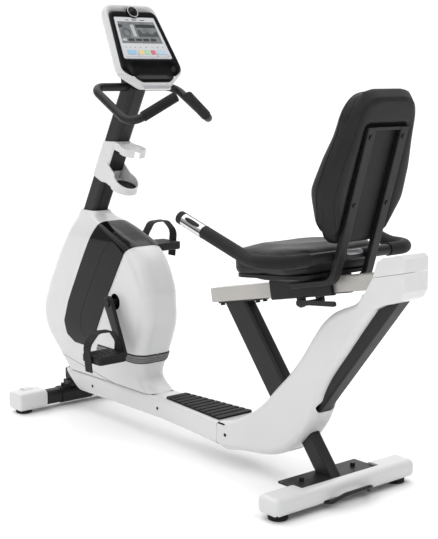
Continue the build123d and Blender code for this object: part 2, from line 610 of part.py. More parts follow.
HEAD_HALF = 44.0
with BuildPart() as rear_head_covers:
    for outline in (HEAD_OUTLINE, CAP_OUTLINE):
        with BuildSketch(xz_plane(HEAD_HALF)):
            with BuildLine():
                Polyline(*outline, close=True)
            make_face()
        extrude(amount=2 * HEAD_HALF)
    with BuildSketch(along(rail_plane, RAIL_LENGTH - 150)):
        Rectangle(RAIL_WIDTH + 1, RAIL_HEIGHT + 1)
    extrude(amount=151, mode=Mode.SUBTRACT)
    with BuildSketch(arm_plane):
        Rectangle(BEAM_WIDTH + 1, BEAM_HEIGHT + 1)
    extrude(amount=664, mode=Mode.SUBTRACT)
rear_head_covers.part.label = "rear_head_covers"
export_step(rear_head_covers.part, "parts/rear_head_covers.step")

# ---------------------------------------------------------------- stabilisers and feet
with BuildPart() as front_stabiliser:
    with BuildSketch(xz_plane(150)):
        with Locations((FRONT_FOOT_X, STAB_Z - 1)):
            RectangleRounded(52, 50, 20)
            RectangleRounded(47, 45, 17, mode=Mode.SUBTRACT)
    extrude(amount=300)
    with BuildSketch(xz_plane(62)):
        with Locations((FRONT_FOOT_X, STAB_Z - 1)):
            RectangleRounded(58, 56, 22)
            RectangleRounded(50, 48, 19, mode=Mode.SUBTRACT)
    extrude(amount=124)
    with Locations((FRONT_FOOT_X - 4, 0, (64 + BEAM_Z - BEAM_HEIGHT / 2) / 2)):
        Box(44, 60, BEAM_Z - BEAM_HEIGHT / 2 - 64)
    with Locations((FRONT_FOOT_X, 45, 69), (FRONT_FOOT_X, -45, 69)):
        Cylinder(6.5, 12)
front_stabiliser.part.label = "front_stabiliser"
export_step(front_stabiliser.part, "parts/front_stabiliser.step")

CAP_IN, CAP_OUT, WHEEL_Y, WHEEL_W, WHEEL_R, WHEEL_X, WHEEL_Z = 134.0, 236.0, 179.0, 20.0, 26.0, 738.0, 41.0
PIN_R = 4.0
with BuildPart() as front_caps:
    for side in (1, -1):
        with BuildSketch(xz_plane(max(side * CAP_IN, side * CAP_OUT))):
            with Locations((FRONT_FOOT_X, 42.0)):
                RectangleRounded(84, 60, 16)
        extrude(amount=CAP_OUT - CAP_IN)
        with BuildSketch(xz_plane(side * WHEEL_Y + 16)):
            with Locations((WHEEL_X - 2, 46)):
                Circle(32)
        extrude(amount=32)
    fillet(front_caps.faces().sort_by(Axis.Y)[0].edges() + front_caps.faces().sort_by(Axis.Y)[-1].edges(), 8)
    with BuildSketch(xz_plane(150.3)):
        with Locations((FRONT_FOOT_X, STAB_Z - 1)):
            RectangleRounded(52.4, 50.4, 20)
    extrude(amount=300.6, mode=Mode.SUBTRACT)
    for side in (1, -1):
        with Locations((FRONT_FOOT_X, side * FRONT_PAD_Y, 25)):
            Cylinder(STEM_R + FIT, 40, mode=Mode.SUBTRACT)
        with BuildSketch(xz_plane(side * WHEEL_Y + WHEEL_W / 2 + 0.6)):
            with Locations((WHEEL_X, WHEEL_Z)):
                Circle(WHEEL_R + 1.5)
            with Locations((WHEEL_X + 30, WHEEL_Z)):
                Rectangle(60, 2 * WHEEL_R + 3)
            with Locations((WHEEL_X, WHEEL_Z - 30)):
                Rectangle(2 * WHEEL_R + 3, 60)
        extrude(amount=WHEEL_W + 1.2, mode=Mode.SUBTRACT)
        with BuildSketch(xz_plane(side * WHEEL_Y + WHEEL_W / 2 + 4)):
            with Locations((WHEEL_X, WHEEL_Z)):
                Circle(PIN_R)
        extrude(amount=WHEEL_W + 8)
front_caps.part.label = "front_stabiliser_caps"
export_step(front_caps.part, "parts/front_stabiliser_caps.step")

for side, side_name in ((1, "left"), (-1, "right")):
    with BuildPart() as wheel:
        with BuildSketch(xz_plane(side * WHEEL_Y + WHEEL_W / 2)):
            with Locations((WHEEL_X, WHEEL_Z)):
                Circle(WHEEL_R)
        extrude(amount=WHEEL_W)
        fillet(wheel.edges(), 3)
        with BuildSketch(xz_plane(side * WHEEL_Y + WHEEL_W)):
            with Locations((WHEEL_X, WHEEL_Z)):
                Circle(PIN_R + FIT)
        extrude(amount=2 * WHEEL_W, mode=Mode.SUBTRACT)
    wheel.part.label = "transport_wheel_" + side_name
    export_step(wheel.part, "parts/transport_wheel_" + side_name + ".step")

# Levelling feet: rubber pad on a threaded stem.
STEM_TOP = 42.0
for end_name, foot_x, foot_y in (("front", FRONT_FOOT_X, FRONT_PAD_Y), ("rear", REAR_FOOT_X, REAR_PAD_Y)):
    for side, side_name in ((1, "left"), (-1, "right")):
        with BuildPart() as foot:
            with Locations((foot_x, side * foot_y, PAD_H / 2)):
                Cylinder(PAD_R, PAD_H)
            chamfer(foot.edges().group_by(Axis.Z)[0], 2)
            with Locations((foot_x, side * foot_y, (PAD_H + STEM_TOP) / 2)):
                Cylinder(STEM_R, STEM_TOP - PAD_H)
        foot.part.label = "foot_" + end_name + "_" + side_name
        export_step(foot.part, "parts/foot_" + end_name + "_" + side_name + ".step")

# Rear stabiliser: tube with its bolted saddle and the bent lifting rod underneath.
ROD_R = 5.5
with BuildPart() as rear_stabiliser:
    with BuildSketch(xz_plane(244)):
        with Locations((REAR_FOOT_X, 36)):
            RectangleRounded(56, 38, 10)
            RectangleRounded(51, 33, 8, mode=Mode.SUBTRACT)
    extrude(amount=488)
    for side in (1, -1):
        with Locations((REAR_FOOT_X, side * REAR_PAD_Y, 19)):
            Cylinder(STEM_R + FIT, 12, mode=Mode.SUBTRACT)
    with Locations(((-574 - 484) / 2, 0, 58)):
        Box(90, 292, 6)
    with Locations((-524, 98, 66), (-524, -98, 66)):
        Cylinder(7, 10)
    with BuildLine() as rod_line:
        FilletPolyline((-574, 92, 19.4), (-612, 74, 19.4), (-640, 48, 44), (-640, -48, 44),
                       (-612, -74, 19.4), (-574, -92, 19.4), radius=[16, 18, 18, 16])
    with BuildSketch(Plane(origin=(-574, 92, 19.4), z_dir=(-38, -18, 0))):
        Circle(ROD_R)
    sweep()
rear_stabiliser.part.label = "rear_stabiliser"
export_step(rear_stabiliser.part, "parts/rear_stabiliser.step")

REAR_COVER_HALF, REAR_COVER_LOW, REAR_COVER_TOP = 262.0, 15.0, 66.0
with BuildPart() as rear_stabiliser_cover:
    with BuildSketch(xz_plane(REAR_COVER_HALF)):
        with Locations((REAR_FOOT_X, (REAR_COVER_LOW + REAR_COVER_TOP) / 2)):
            RectangleRounded(80, REAR_COVER_TOP - REAR_COVER_LOW, 18)
    extrude(amount=2 * REAR_COVER_HALF)
    fillet(rear_stabiliser_cover.faces().sort_by(Axis.Y)[0].edges()
           + rear_stabiliser_cover.faces().sort_by(Axis.Y)[-1].edges(), 12)
    with Locations((REAR_FOOT_X, 0, (REAR_COVER_LOW + REAR_COVER_TOP) / 2 - 8)):
        Box(68, 2 * REAR_COVER_HALF - 8, REAR_COVER_TOP - REAR_COVER_LOW, mode=Mode.SUBTRACT)
    with Locations(((-576 - 480) / 2, 0, 74.5)):
        Box(96, 294, 40, mode=Mode.SUBTRACT)
    with Locations((-600, 0, 20)):
        Box(40, 190, 16, mode=Mode.SUBTRACT)
rear_stabiliser_cover.part.label = "rear_stabiliser_cover"
export_step(rear_stabiliser_cover.part, "parts/rear_stabiliser_cover.step")

# ---------------------------------------------------------------- handlebar
GRIP_R = 15.8
bar_path = ((103, 26, 1062), (150, 157, 983), (BAR_X, 158, BAR_Z), (BAR_X, -158, BAR_Z), (150, -157, 983),
            (103, -26, 1062))
with BuildPart() as handlebar:
    with BuildLine() as bar_line:
        FilletPolyline(*bar_path, radius=[45, 42, 42, 45])
    with BuildSketch(Plane(origin=bar_path[0], z_dir=Vector(*bar_path[1]) - Vector(*bar_path[0]))):
        Circle(BAR_R)
        Circle(BAR_R - BAR_WALL, mode=Mode.SUBTRACT)
    sweep()
handlebar.part.label = "handlebar"
export_step(handlebar.part, "parts/handlebar.step")

GRIP_LENGTH = 118.0
with BuildPart() as handlebar_grips:
    for side in (1, -1):
        end = Vector(bar_path[0][0], side * bar_path[0][1], bar_path[0][2])
        inner = Vector(bar_path[1][0], side * bar_path[1][1], bar_path[1][2])
        run = (inner - end).normalized()
        with BuildSketch(Plane(origin=end - run * 4, z_dir=run)):
            Circle(GRIP_R)
        extrude(amount=GRIP_LENGTH)
        with BuildSketch(Plane(origin=end - run * 0.2, z_dir=run)):
            Circle(BAR_R + FIT)
        extrude(amount=GRIP_LENGTH, mode=Mode.SUBTRACT)
handlebar_grips.part.label = "handlebar_grips"
export_step(handlebar_grips.part, "parts/handlebar_grips.step")

# ---------------------------------------------------------------- bottle holder on the mast
HOLDER_T, HOLDER_TOP_Z = 4.0, 918.0
BOTTLE_LEAN, RING_LEAN = 22.0, 15.0
CUP_R, RING_R, RING_H = 39.0, 37.0, 24.0
WINDOW_AT, WINDOW_L, WINDOW_W = 228.0, 86.0, 54.0
lean = math.radians(BOTTLE_LEAN)
cup_plane = Plane(origin=(400, 0, 772), x_dir=(math.cos(lean), 0, math.sin(lean)),
                  z_dir=(-math.sin(lean), 0, math.cos(lean)))
lean = math.radians(RING_LEAN)
ring_plane = Plane(origin=(352, 0, 890), x_dir=(math.cos(lean), 0, math.sin(lean)),
                   z_dir=(-math.sin(lean), 0, math.cos(lean)))
window_plane = Plane(origin=mast_plane.origin + mast_up * WINDOW_AT, x_dir=mast_up, z_dir=mast_front)

# Scoop: curved walls that run from the collar down to the cup floor.
with BuildPart() as scoop:
    with BuildSketch(along(cup_plane, -8)):
        Circle(CUP_R + HOLDER_T)
        with Locations((52, 0)):
            Rectangle(96, 68)
    extrude(amount=80)
    with BuildSketch(cup_plane):
        Circle(CUP_R)
        with Locations((52, 0)):
            Rectangle(96, 60)
    extrude(amount=80, mode=Mode.SUBTRACT)
    split(bisect_by=Plane(origin=(358, 0, 770), z_dir=(-0.66, 0, 0.75)), keep=Keep.BOTTOM)

with BuildPart() as bottle_holder:
    with BuildSketch(along(mast_plane, 90)):
        RectangleRounded(MAST_DEPTH + 2 * HOLDER_T, MAST_WIDTH + 2 * HOLDER_T, MAST_CORNER + HOLDER_T)
    extrude(amount=260)
    split(bisect_by=Plane.XY.offset(HOLDER_TOP_Z), keep=Keep.BOTTOM)
    split(bisect_by=Plane(origin=(525, 0, 806), z_dir=(-0.39, 0, 0.92)), keep=Keep.TOP)
    with BuildSketch(along(window_plane, -20)):
        RectangleRounded(WINDOW_L, WINDOW_W, 8)
    extrude(amount=-60, mode=Mode.SUBTRACT)
    add(scoop.part)
    with BuildSketch(along(ring_plane, -RING_H / 2)):
        Circle(RING_R + HOLDER_T)
        with Locations((48, 0)):
            Rectangle(50, 60)
    extrude(amount=RING_H)
    with BuildSketch(along(ring_plane, -RING_H)):
        Circle(RING_R)
        with Locations(Location((-RING_R - 1, 10))):
            Rectangle(16, 18)
    extrude(amount=2 * RING_H, mode=Mode.SUBTRACT)
    with BuildSketch(mast_plane):
        RectangleRounded(MAST_DEPTH + 0.2, MAST_WIDTH + 0.2, MAST_CORNER)
    extrude(amount=400, mode=Mode.SUBTRACT)
bottle_holder.part.label = "bottle_holder"
export_step(bottle_holder.part, "parts/bottle_holder.step")

# Dark liner: a plate in the collar's window and a ribbed mat on the cup floor.
with BuildPart() as bottle_tray:
    with BuildSketch(along(window_plane, -MAST_DEPTH / 2 - 0.2)):
        with Locations((-7, 0)):
            RectangleRounded(WINDOW_L - 15, WINDOW_W - 1, 7)
    extrude(amount=-3.2)
    with BuildSketch(along(window_plane, -MAST_DEPTH / 2 - 3.4)):
        with Locations((24, 12), (24, -12)):
            Circle(3.4)
    extrude(amount=-2)
    with BuildSketch(along(cup_plane, 0.3)):
        Circle(CUP_R - 0.5)
    extrude(amount=6)
    with BuildSketch(along(cup_plane, 4)):
        with GridLocations(9, 1, 8, 1):
            Rectangle(3, 70)
    extrude(amount=5, mode=Mode.SUBTRACT)
bottle_tray.part.label = "bottle_tray"
export_step(bottle_tray.part, "parts/bottle_tray.step")

# ---------------------------------------------------------------- console
SHELL_OUTLINE = ((-90, 68), (90, 68), (103, 40), (116, -160), (102, -186), (48, -222), (-48, -222), (-102, -186),
                 (-116, -160), (-103, 40))
BEZEL_OUTLINE = ((-85, 38), (85, 38), (98, 20), (117, -170), (64, -207), (46, -213), (-46, -213), (-64, -207),
                 (-117, -170), (-98, 20))
PANEL_OUTLINE = ((-76, 17), (76, 17), (92, -130), (-92, -130))
LCD_OUTLINE = ((-69, 1), (69, 1), (77, -76), (-77, -76))
LIP_OUTLINE = ((-40, -214), (40, -214), (52, -233), (-52, -233))
KEY_S, KEY_H, KEY_TRAVEL, KEY_GAP = -108.0, 14.0, 1.0, 0.4
KEYS = (("blue", -54, 32), ("amber", -20, 18), ("green", 3, 16), ("red", 26, 16), ("cyan", 59, 32))
CONSOLE_DEEP = 44.0
with BuildPart() as console_shell:
    with BuildSketch(along(face_plane, -CONSOLE_DEEP)):
        with BuildLine():
            FilletPolyline(*[(0.86 * x, -76 + 0.86 * (s + 76)) for x, s in SHELL_OUTLINE], close=True, radius=9)
        make_face()
    with BuildSketch(along(face_plane, -CONSOLE_DEEP + 20)):
        with BuildLine():
            FilletPolyline(*SHELL_OUTLINE, close=True, radius=10)
        make_face()
    loft()
    with BuildSketch(along(face_plane, -CONSOLE_DEEP + 20)):
        with BuildLine():
            FilletPolyline(*SHELL_OUTLINE, close=True, radius=10)
        make_face()
    extrude(amount=CONSOLE_DEEP - 20 - 6.2)
    with BuildSketch(along(face_plane, -CONSOLE_DEEP + 8)):
        with BuildLine():
            FilletPolyline(*[(0.8 * x, -76 + 0.8 * (s + 76)) for x, s in SHELL_OUTLINE], close=True, radius=8)
        make_face()
    extrude(amount=CONSOLE_DEEP, mode=Mode.SUBTRACT)
console_shell.part.label = "console_shell"
export_step(console_shell.part, "parts/console_shell.step")

with BuildPart() as console_bezel:
    with BuildSketch(along(face_plane, -6)):
        with BuildLine():
            FilletPolyline(*BEZEL_OUTLINE, close=True, radius=8)
        make_face()
    extrude(amount=7.5)
    with BuildSketch(along(face_plane, -1)):
        with BuildLine():
            FilletPolyline(*[(1.012 * x, -56 + 1.01 * (s + 56)) for x, s in PANEL_OUTLINE], close=True, radius=5)
        make_face()
    extrude(amount=5, mode=Mode.SUBTRACT)
    with BuildSketch(along(face_plane, 0)):
        with BuildLine():
            FilletPolyline((-92, -140), (92, -140), (96, -164), (56, -196), (-56, -196), (-96, -164), close=True,
                           radius=8)
        make_face()
    extrude(amount=5, mode=Mode.SUBTRACT)
    with BuildSketch(along(face_plane, -6.5)):
        for key_name, key_x, key_w in KEYS:
            with Locations((key_x, KEY_S)):
                Rectangle(key_w + 2 * KEY_GAP, KEY_H + 2 * KEY_GAP)
    extrude(amount=10, mode=Mode.SUBTRACT)
console_bezel.part.label = "console_bezel"
export_step(console_bezel.part, "parts/console_bezel.step")

with BuildPart() as console_panel:
    with BuildSketch(along(face_plane, -0.9)):
        with BuildLine():
            FilletPolyline(*PANEL_OUTLINE, close=True, radius=5)
        make_face()
        with BuildSketch(mode=Mode.SUBTRACT):
            with BuildLine():
                Polyline(*[(1.004 * x, -37.5 + 1.008 * (s + 37.5)) for x, s in LCD_OUTLINE], close=True)
            make_face()
        for key_name, key_x, key_w in KEYS:
            with Locations((key_x, KEY_S)):
                RectangleRounded(key_w + 2 * KEY_GAP, KEY_H + 2 * KEY_GAP, 2, mode=Mode.SUBTRACT)
    extrude(amount=1.9)
console_panel.part.label = "console_panel"
export_step(console_panel.part, "parts/console_panel.step")

with BuildPart() as console_lcd:
    with BuildSketch(along(face_plane, -0.9)):
        with BuildLine():
            Polyline(*LCD_OUTLINE, close=True)
        make_face()
    extrude(amount=1.6)
console_lcd.part.label = "console_lcd"
export_step(console_lcd.part, "parts/console_lcd.step")

with BuildPart() as console_lip:
    with BuildSketch(along(face_plane, -12)):
        with BuildLine():
            FilletPolyline(*LIP_OUTLINE, close=True, radius=3)
        make_face()
    extrude(amount=8)
    with BuildSketch(along(face_plane, -14)):
        with BuildLine():
            FilletPolyline(*SHELL_OUTLINE, close=True, radius=10)
        make_face()
    extrude(amount=7.9, mode=Mode.SUBTRACT)
console_lip.part.label = "console_lip"
export_step(console_lip.part, "parts/console_lip.step")

for key_name, key_x, key_w in KEYS:
    with BuildPart() as key:
        with BuildSketch(along(face_plane, -5.5)):
            with Locations((key_x, KEY_S)):
                RectangleRounded(key_w, KEY_H, 2)
        extrude(amount=5.5 + 1.0 + KEY_TRAVEL + 0.3)
    key.part.label = "console_key_" + key_name
    export_step(key.part, "parts/console_key_" + key_name + ".step")

# ---------------------------------------------------------------- seat
# Carriage: box sleeve on the rail, with plastic glides left as a running gap.
CAR_FROM, CAR_TO = 266.0, 500.0
CAR_HALF, CAR_LOW, CAR_HIGH, GLIDE = 42.0, -29.0, 27.0, 0.5
SLOT_HALF = 26.0
PAN_TILT = 5.0
SEAT_X, SEAT_Z = -425.0, 609.0
pan_fwd = Vector(math.cos(math.radians(PAN_TILT)), 0, -math.sin(math.radians(PAN_TILT)))
pan_plane = Plane(origin=(SEAT_X, 0, SEAT_Z), x_dir=pan_fwd,
                  z_dir=(math.sin(math.radians(PAN_TILT)), 0, math.cos(math.radians(PAN_TILT))))
PAN_T, CUSHION_T = 9.0, 62.0
LUG_T, LUG_AT, LEVER_R = 10.0, 378.0, 4.0
lever_pivot = Vector(RAIL_X, 0, RAIL_Z) + rail_back * LUG_AT - rail_up * 40
with BuildPart() as seat_carriage:
    with BuildSketch(along(rail_plane, CAR_FROM)):
        with Locations((0, (CAR_LOW + CAR_HIGH) / 2)):
            RectangleRounded(2 * CAR_HALF, CAR_HIGH - CAR_LOW, 6)
        Rectangle(RAIL_WIDTH + 2 * GLIDE, RAIL_HEIGHT + 2 * GLIDE, mode=Mode.SUBTRACT)
    extrude(amount=CAR_TO - CAR_FROM)
    # lugs for the release lever under the sleeve
    for y in (CAR_HALF - 2, -CAR_HALF + 2 + LUG_T):
        with BuildSketch(xz_plane(y)):
            with Locations((lever_pivot.X, lever_pivot.Z)):
                Circle(13)
            with Locations(Location((lever_pivot.X + 2.4, lever_pivot.Z + 12), RAIL_RISE * -1)):
                Rectangle(26, 14)
            with Locations((lever_pivot.X, lever_pivot.Z)):
                Circle(LEVER_R + FIT, mode=Mode.SUBTRACT)
        extrude(amount=LUG_T)
    # two upright webs between the sleeve and the seat pan
    for y in (36, -30):
        with BuildSketch(xz_plane(y)):
            with BuildLine():
                Polyline((-345, 560), (-345, 598), (-440, 606), (-540, 614), (-540, 602), (-440, 580), close=True)
            make_face()
        extrude(amount=6)
    with BuildSketch(pan_plane):
        RectangleRounded(262, 300, 50)
    extrude(amount=-PAN_T)
    with BuildSketch(along(rail_plane, CAR_FROM - 1)):
        Rectangle(RAIL_WIDTH + 2 * GLIDE, RAIL_HEIGHT + 2 * GLIDE)
        with Locations((0, 40)):
            Rectangle(2 * SLOT_HALF, 60)
    extrude(amount=CAR_TO - CAR_FROM + 2, mode=Mode.SUBTRACT)
seat_carriage.part.label = "seat_carriage_and_pan"
export_step(seat_carriage.part, "parts/seat_carriage_and_pan.step")

# Seat cushion: plain body, the upholstery crowns above it.
with BuildPart() as seat_cushion:
    with BuildSketch(along(pan_plane, 0.3)):
        with BuildLine():
            FilletPolyline((150, -174), (150, 174), (-146, 176), (-146, -176), close=True, radius=62)
        make_face()
    extrude(amount=CUSHION_T)
    fillet(seat_cushion.edges().group_by(Axis.Z)[-1], 16)
seat_cushion.part.label = "seat_cushion"
export_step(seat_cushion.part, "parts/seat_cushion.step")

# Back bars: two L-shaped flat tubes from the carriage sides up the backrest.
BAR_T, BAR_W, BACK_BAR_Y = 16.0, 28.0, 59.5
bar_mid = Vector(BACK_X, 0, BACK_Z) + back_fwd * (BAR_T / 2)
bar_corner = bar_mid - back_up * 213
bar_foot = bar_corner - rail_back * 150
bar_top = bar_mid + back_up * 204
with BuildPart() as back_bars:
    for side in (1, -1):
        y = side * BACK_BAR_Y
        with BuildLine():
            FilletPolyline((bar_foot.X, y, bar_foot.Z), (bar_corner.X, y, bar_corner.Z), (bar_top.X, y, bar_top.Z),
                           radius=42)
        with BuildSketch(Plane(origin=(bar_foot.X, y, bar_foot.Z), x_dir=(0, 1, 0), z_dir=rail_back)):
            RectangleRounded(BAR_W, BAR_T, 3)
        sweep()
    with BuildSketch(Plane(origin=bar_mid + back_up * 196, x_dir=(0, 1, 0), z_dir=back_up)):
        Rectangle(2 * BACK_BAR_Y, BAR_T - 4)
    extrude(amount=8)
    # bolts through the bars into the backrest shell
    for up in (179, 0):
        with BuildSketch(Plane(origin=Vector(BACK_X, 0, BACK_Z) + back_up * up, x_dir=(0, 1, 0), z_dir=back_fwd)):
            with Locations((BACK_BAR_Y, 0), (-BACK_BAR_Y, 0)):
                Circle(6)
        extrude(amount=-3)
back_bars.part.label = "back_bars"
export_step(back_bars.part, "parts/back_bars.step")

BACK_OUTLINE = ((-98, -122), (98, -122), (149, 0), (147, 90), (119, 295), (-119, 295), (-147, 90), (-149, 0))
BACK_ROUND = [58, 58, 60, 60, 76, 76, 60, 60]
SHELL_BACK, SHELL_FRONT, PAD_FRONT = 5.0, 42.0, 84.0
BACK_NARROW, BACK_SHORT, BACK_MID = 0.78, 0.9, 89.0
with BuildPart() as backrest_shell:
    with BuildSketch(along(back_plane, SHELL_BACK)):
        with BuildLine():
            FilletPolyline(*[(BACK_NARROW * x, BACK_MID + BACK_SHORT * (s - BACK_MID)) for x, s in BACK_OUTLINE],
                           close=True, radius=[BACK_NARROW * r for r in BACK_ROUND])
        make_face()
    with BuildSketch(along(back_plane, SHELL_FRONT)):
        with BuildLine():
            FilletPolyline(*BACK_OUTLINE, close=True, radius=BACK_ROUND)
        make_face()
    loft()
    with BuildSketch(along(back_plane, SHELL_BACK - 1)):
        with BuildLine():
            FilletPolyline((-86, -160), (86, -160), (84, 60), (78, 212), (-78, 212), (-84, 60), close=True,
                           radius=14)
        make_face()
    extrude(amount=BAR_T + 0.3 - SHELL_BACK + 1, mode=Mode.SUBTRACT)
backrest_shell.part.label = "backrest_shell"
export_step(backrest_shell.part, "parts/backrest_shell.step")

with BuildPart() as backrest_cushion:
    with BuildSketch(along(back_plane, SHELL_FRONT + 0.3)):
        with BuildLine():
            FilletPolyline(*[(0.975 * x, 89 + 0.98 * (s - 89)) for x, s in BACK_OUTLINE], close=True,
                           radius=BACK_ROUND)
        make_face()
    extrude(amount=PAD_FRONT - SHELL_FRONT)
    fillet(backrest_cushion.faces().sort_by(Axis.X)[-1].edges(), 16)
backrest_cushion.part.label = "backrest_cushion"
export_step(backrest_cushion.part, "parts/backrest_cushion.step")

# Side handles: one bent tube behind the seat, foam on both arms.
HANDLE_R, HANDLE_WALL, FOAM_R, HANDLE_Y, HANDLE_Z = 15.0, 2.0, 18.0, 260.0, 668.0
handle_off = (BAR_T / 2 + HANDLE_R + 2.5) / math.cos(math.radians(BACK_LEAN))
handle_x = bar_mid.X - math.tan(math.radians(BACK_LEAN)) * (HANDLE_Z - BACK_Z) + handle_off
HANDLE_TIP = (-222.0, 750.0)
HANDLE_KNEE = (-496.0, 668.0)
handle_path = ((HANDLE_TIP[0], HANDLE_Y, HANDLE_TIP[1]), (HANDLE_KNEE[0], HANDLE_Y, HANDLE_KNEE[1]),
               (handle_x, HANDLE_Y, HANDLE_Z), (handle_x, -HANDLE_Y, HANDLE_Z),
               (HANDLE_KNEE[0], -HANDLE_Y, HANDLE_KNEE[1]), (HANDLE_TIP[0], -HANDLE_Y, HANDLE_TIP[1]))
with BuildPart() as seat_handle:
    with BuildLine() as handle_line:
        FilletPolyline(*handle_path, radius=[120, 66, 66, 120])
    with BuildSketch(Plane(origin=handle_path[0], z_dir=Vector(*handle_path[1]) - Vector(*handle_path[0]))):
        Circle(HANDLE_R)
        Circle(HANDLE_R - HANDLE_WALL, mode=Mode.SUBTRACT)
    sweep()
seat_handle.part.label = "seat_handle"
export_step(seat_handle.part, "parts/seat_handle.step")

FOAM_END_Y = 150.0
SENSOR_FROM, SENSOR_LENGTH, SENSOR_T = 16.0, 84.0, 1.0
with BuildPart() as seat_handle_grips:
    for side in (1, -1):
        y = side * HANDLE_Y
        tip = Vector(HANDLE_TIP[0], y, HANDLE_TIP[1])
        run = (Vector(HANDLE_KNEE[0], y, HANDLE_KNEE[1]) - tip).normalized()
        with BuildLine():
            FilletPolyline(tip, (HANDLE_KNEE[0], y, HANDLE_KNEE[1]), (handle_x, y, HANDLE_Z),
                           (handle_x, side * FOAM_END_Y, HANDLE_Z), radius=[120, 66])
        with BuildSketch(Plane(origin=tip, z_dir=run)):
            Circle(FOAM_R)
            Circle(HANDLE_R + FIT, mode=Mode.SUBTRACT)
        sweep()
        with BuildSketch(Plane(origin=tip - run * 5, z_dir=run)):
            Circle(FOAM_R)
        extrude(amount=4.8)
        with BuildSketch(Plane(origin=tip - run * 0.2, z_dir=run)):
            Circle(FOAM_R)
            Circle(HANDLE_R + FIT, mode=Mode.SUBTRACT)
        extrude(amount=2)
        with BuildSketch(Plane(origin=tip + run * SENSOR_FROM, z_dir=run)):
            Circle(FOAM_R + 1)
            Circle(FOAM_R - SENSOR_T, mode=Mode.SUBTRACT)
            Rectangle(3, 80, mode=Mode.SUBTRACT)
            Rectangle(80, 3, mode=Mode.SUBTRACT)
        extrude(amount=SENSOR_LENGTH, mode=Mode.SUBTRACT)
seat_handle_grips.part.label = "seat_handle_grips"
export_step(seat_handle_grips.part, "parts/seat_handle_grips.step")

with BuildPart() as pulse_plates:
    for side in (1, -1):
        y = side * HANDLE_Y
        tip = Vector(HANDLE_TIP[0], y, HANDLE_TIP[1])
        run = (Vector(HANDLE_KNEE[0], y, HANDLE_KNEE[1]) - tip).normalized()
        with BuildSketch(Plane(origin=tip + run * (SENSOR_FROM + 0.2), z_dir=run)):
            Circle(FOAM_R + 0.4)
            Circle(FOAM_R - SENSOR_T + 0.1, mode=Mode.SUBTRACT)
            Rectangle(3.6, 80, mode=Mode.SUBTRACT)
            Rectangle(80, 3.6, mode=Mode.SUBTRACT)
        extrude(amount=SENSOR_LENGTH - 0.4)
pulse_plates.part.label = "pulse_plates"
export_step(pulse_plates.part, "parts/pulse_plates.step")

# Seat release lever: pivot rod between the lugs, arms and a handle bar running back under the rail.
with BuildPart() as seat_lever:
    with BuildSketch(xz_plane(CAR_HALF + 6)):
        with Locations((lever_pivot.X, lever_pivot.Z)):
            Circle(LEVER_R)
    extrude(amount=2 * CAR_HALF + 12)
    with BuildSketch(xz_plane(CAR_HALF + 6)):
        with Locations((lever_pivot.X, lever_pivot.Z)):
            Circle(9)
        with Locations((lever_pivot.X - 40, lever_pivot.Z + 6)):
            Circle(6)
        make_hull()
        with BuildSketch():
            with Locations((lever_pivot.X - 40, lever_pivot.Z + 6)):
                Circle(6)
            with Locations((lever_pivot.X - 128, lever_pivot.Z + 16)):
                Circle(7)
            make_hull()
    extrude(amount=7)
seat_lever.part.label = "seat_lever"
export_step(seat_lever.part, "parts/seat_lever.step")
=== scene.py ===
import math

import bmesh
import bpy
import numpy as np
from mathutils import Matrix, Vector
from mathutils.bvhtree import BVHTree


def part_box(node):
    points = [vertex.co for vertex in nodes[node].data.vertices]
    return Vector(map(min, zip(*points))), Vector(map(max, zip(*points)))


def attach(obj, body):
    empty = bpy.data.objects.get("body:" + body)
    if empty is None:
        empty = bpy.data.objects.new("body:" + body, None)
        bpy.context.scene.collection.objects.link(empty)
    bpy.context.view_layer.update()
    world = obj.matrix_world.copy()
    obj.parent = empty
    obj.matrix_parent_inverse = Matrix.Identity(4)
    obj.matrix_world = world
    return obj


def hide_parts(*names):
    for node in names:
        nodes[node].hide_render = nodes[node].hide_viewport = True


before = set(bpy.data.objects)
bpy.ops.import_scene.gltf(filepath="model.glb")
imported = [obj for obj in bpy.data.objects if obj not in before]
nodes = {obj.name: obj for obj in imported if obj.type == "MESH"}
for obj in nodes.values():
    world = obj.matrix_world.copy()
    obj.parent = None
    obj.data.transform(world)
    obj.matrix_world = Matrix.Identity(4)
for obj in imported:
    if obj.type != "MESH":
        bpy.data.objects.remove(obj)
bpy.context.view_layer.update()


# ---------------------------------------------------------------- materials
def material(name, color, rough, metallic=0.0, coat=0.0, coat_rough=0.05, specular=0.5, sheen=0.0):
    """Principled material; returns (material, nodes, links, shader, position)."""
    mat = bpy.data.materials.new(name)
    mat.use_nodes = True
    tree = mat.node_tree
    shader = tree.nodes["Principled BSDF"]
    shader.inputs["Base Color"].default_value = (*color, 1)
    shader.inputs["Roughness"].default_value = rough
    shader.inputs["Metallic"].default_value = metallic
    shader.inputs["Coat Weight"].default_value = coat
    shader.inputs["Coat Roughness"].default_value = coat_rough
    shader.inputs["Specular IOR Level"].default_value = specular
    if sheen:
        shader.inputs["Sheen Weight"].default_value = sheen
        shader.inputs["Sheen Roughness"].default_value = 0.4
    place = tree.nodes.new("ShaderNodeTexCoord").outputs["Object"]
    return mat, tree.nodes, tree.links, shader, place


def noise(n, l, place, scale, detail=4.0, rough=0.6, stretch=None):
    if stretch:
        m = n.new("ShaderNodeMapping")
        m.inputs["Scale"].default_value = stretch
        l.new(place, m.inputs["Vector"])
        place = m.outputs["Vector"]
    t = n.new("ShaderNodeTexNoise")
    t.inputs["Scale"].default_value = scale
    t.inputs["Detail"].default_value = detail
    t.inputs["Roughness"].default_value = rough
    l.new(place, t.inputs["Vector"])
    return t.outputs["Fac"]


def ramp(n, l, fac, a, b, lo=0.3, hi=0.7):
    r = n.new("ShaderNodeValToRGB")
    r.color_ramp.elements[0].position = lo
    r.color_ramp.elements[1].position = hi
    r.color_ramp.elements[0].color = (*a, 1)
    r.color_ramp.elements[1].color = (*b, 1)
    l.new(fac, r.inputs["Fac"])
    return r.outputs["Color"]


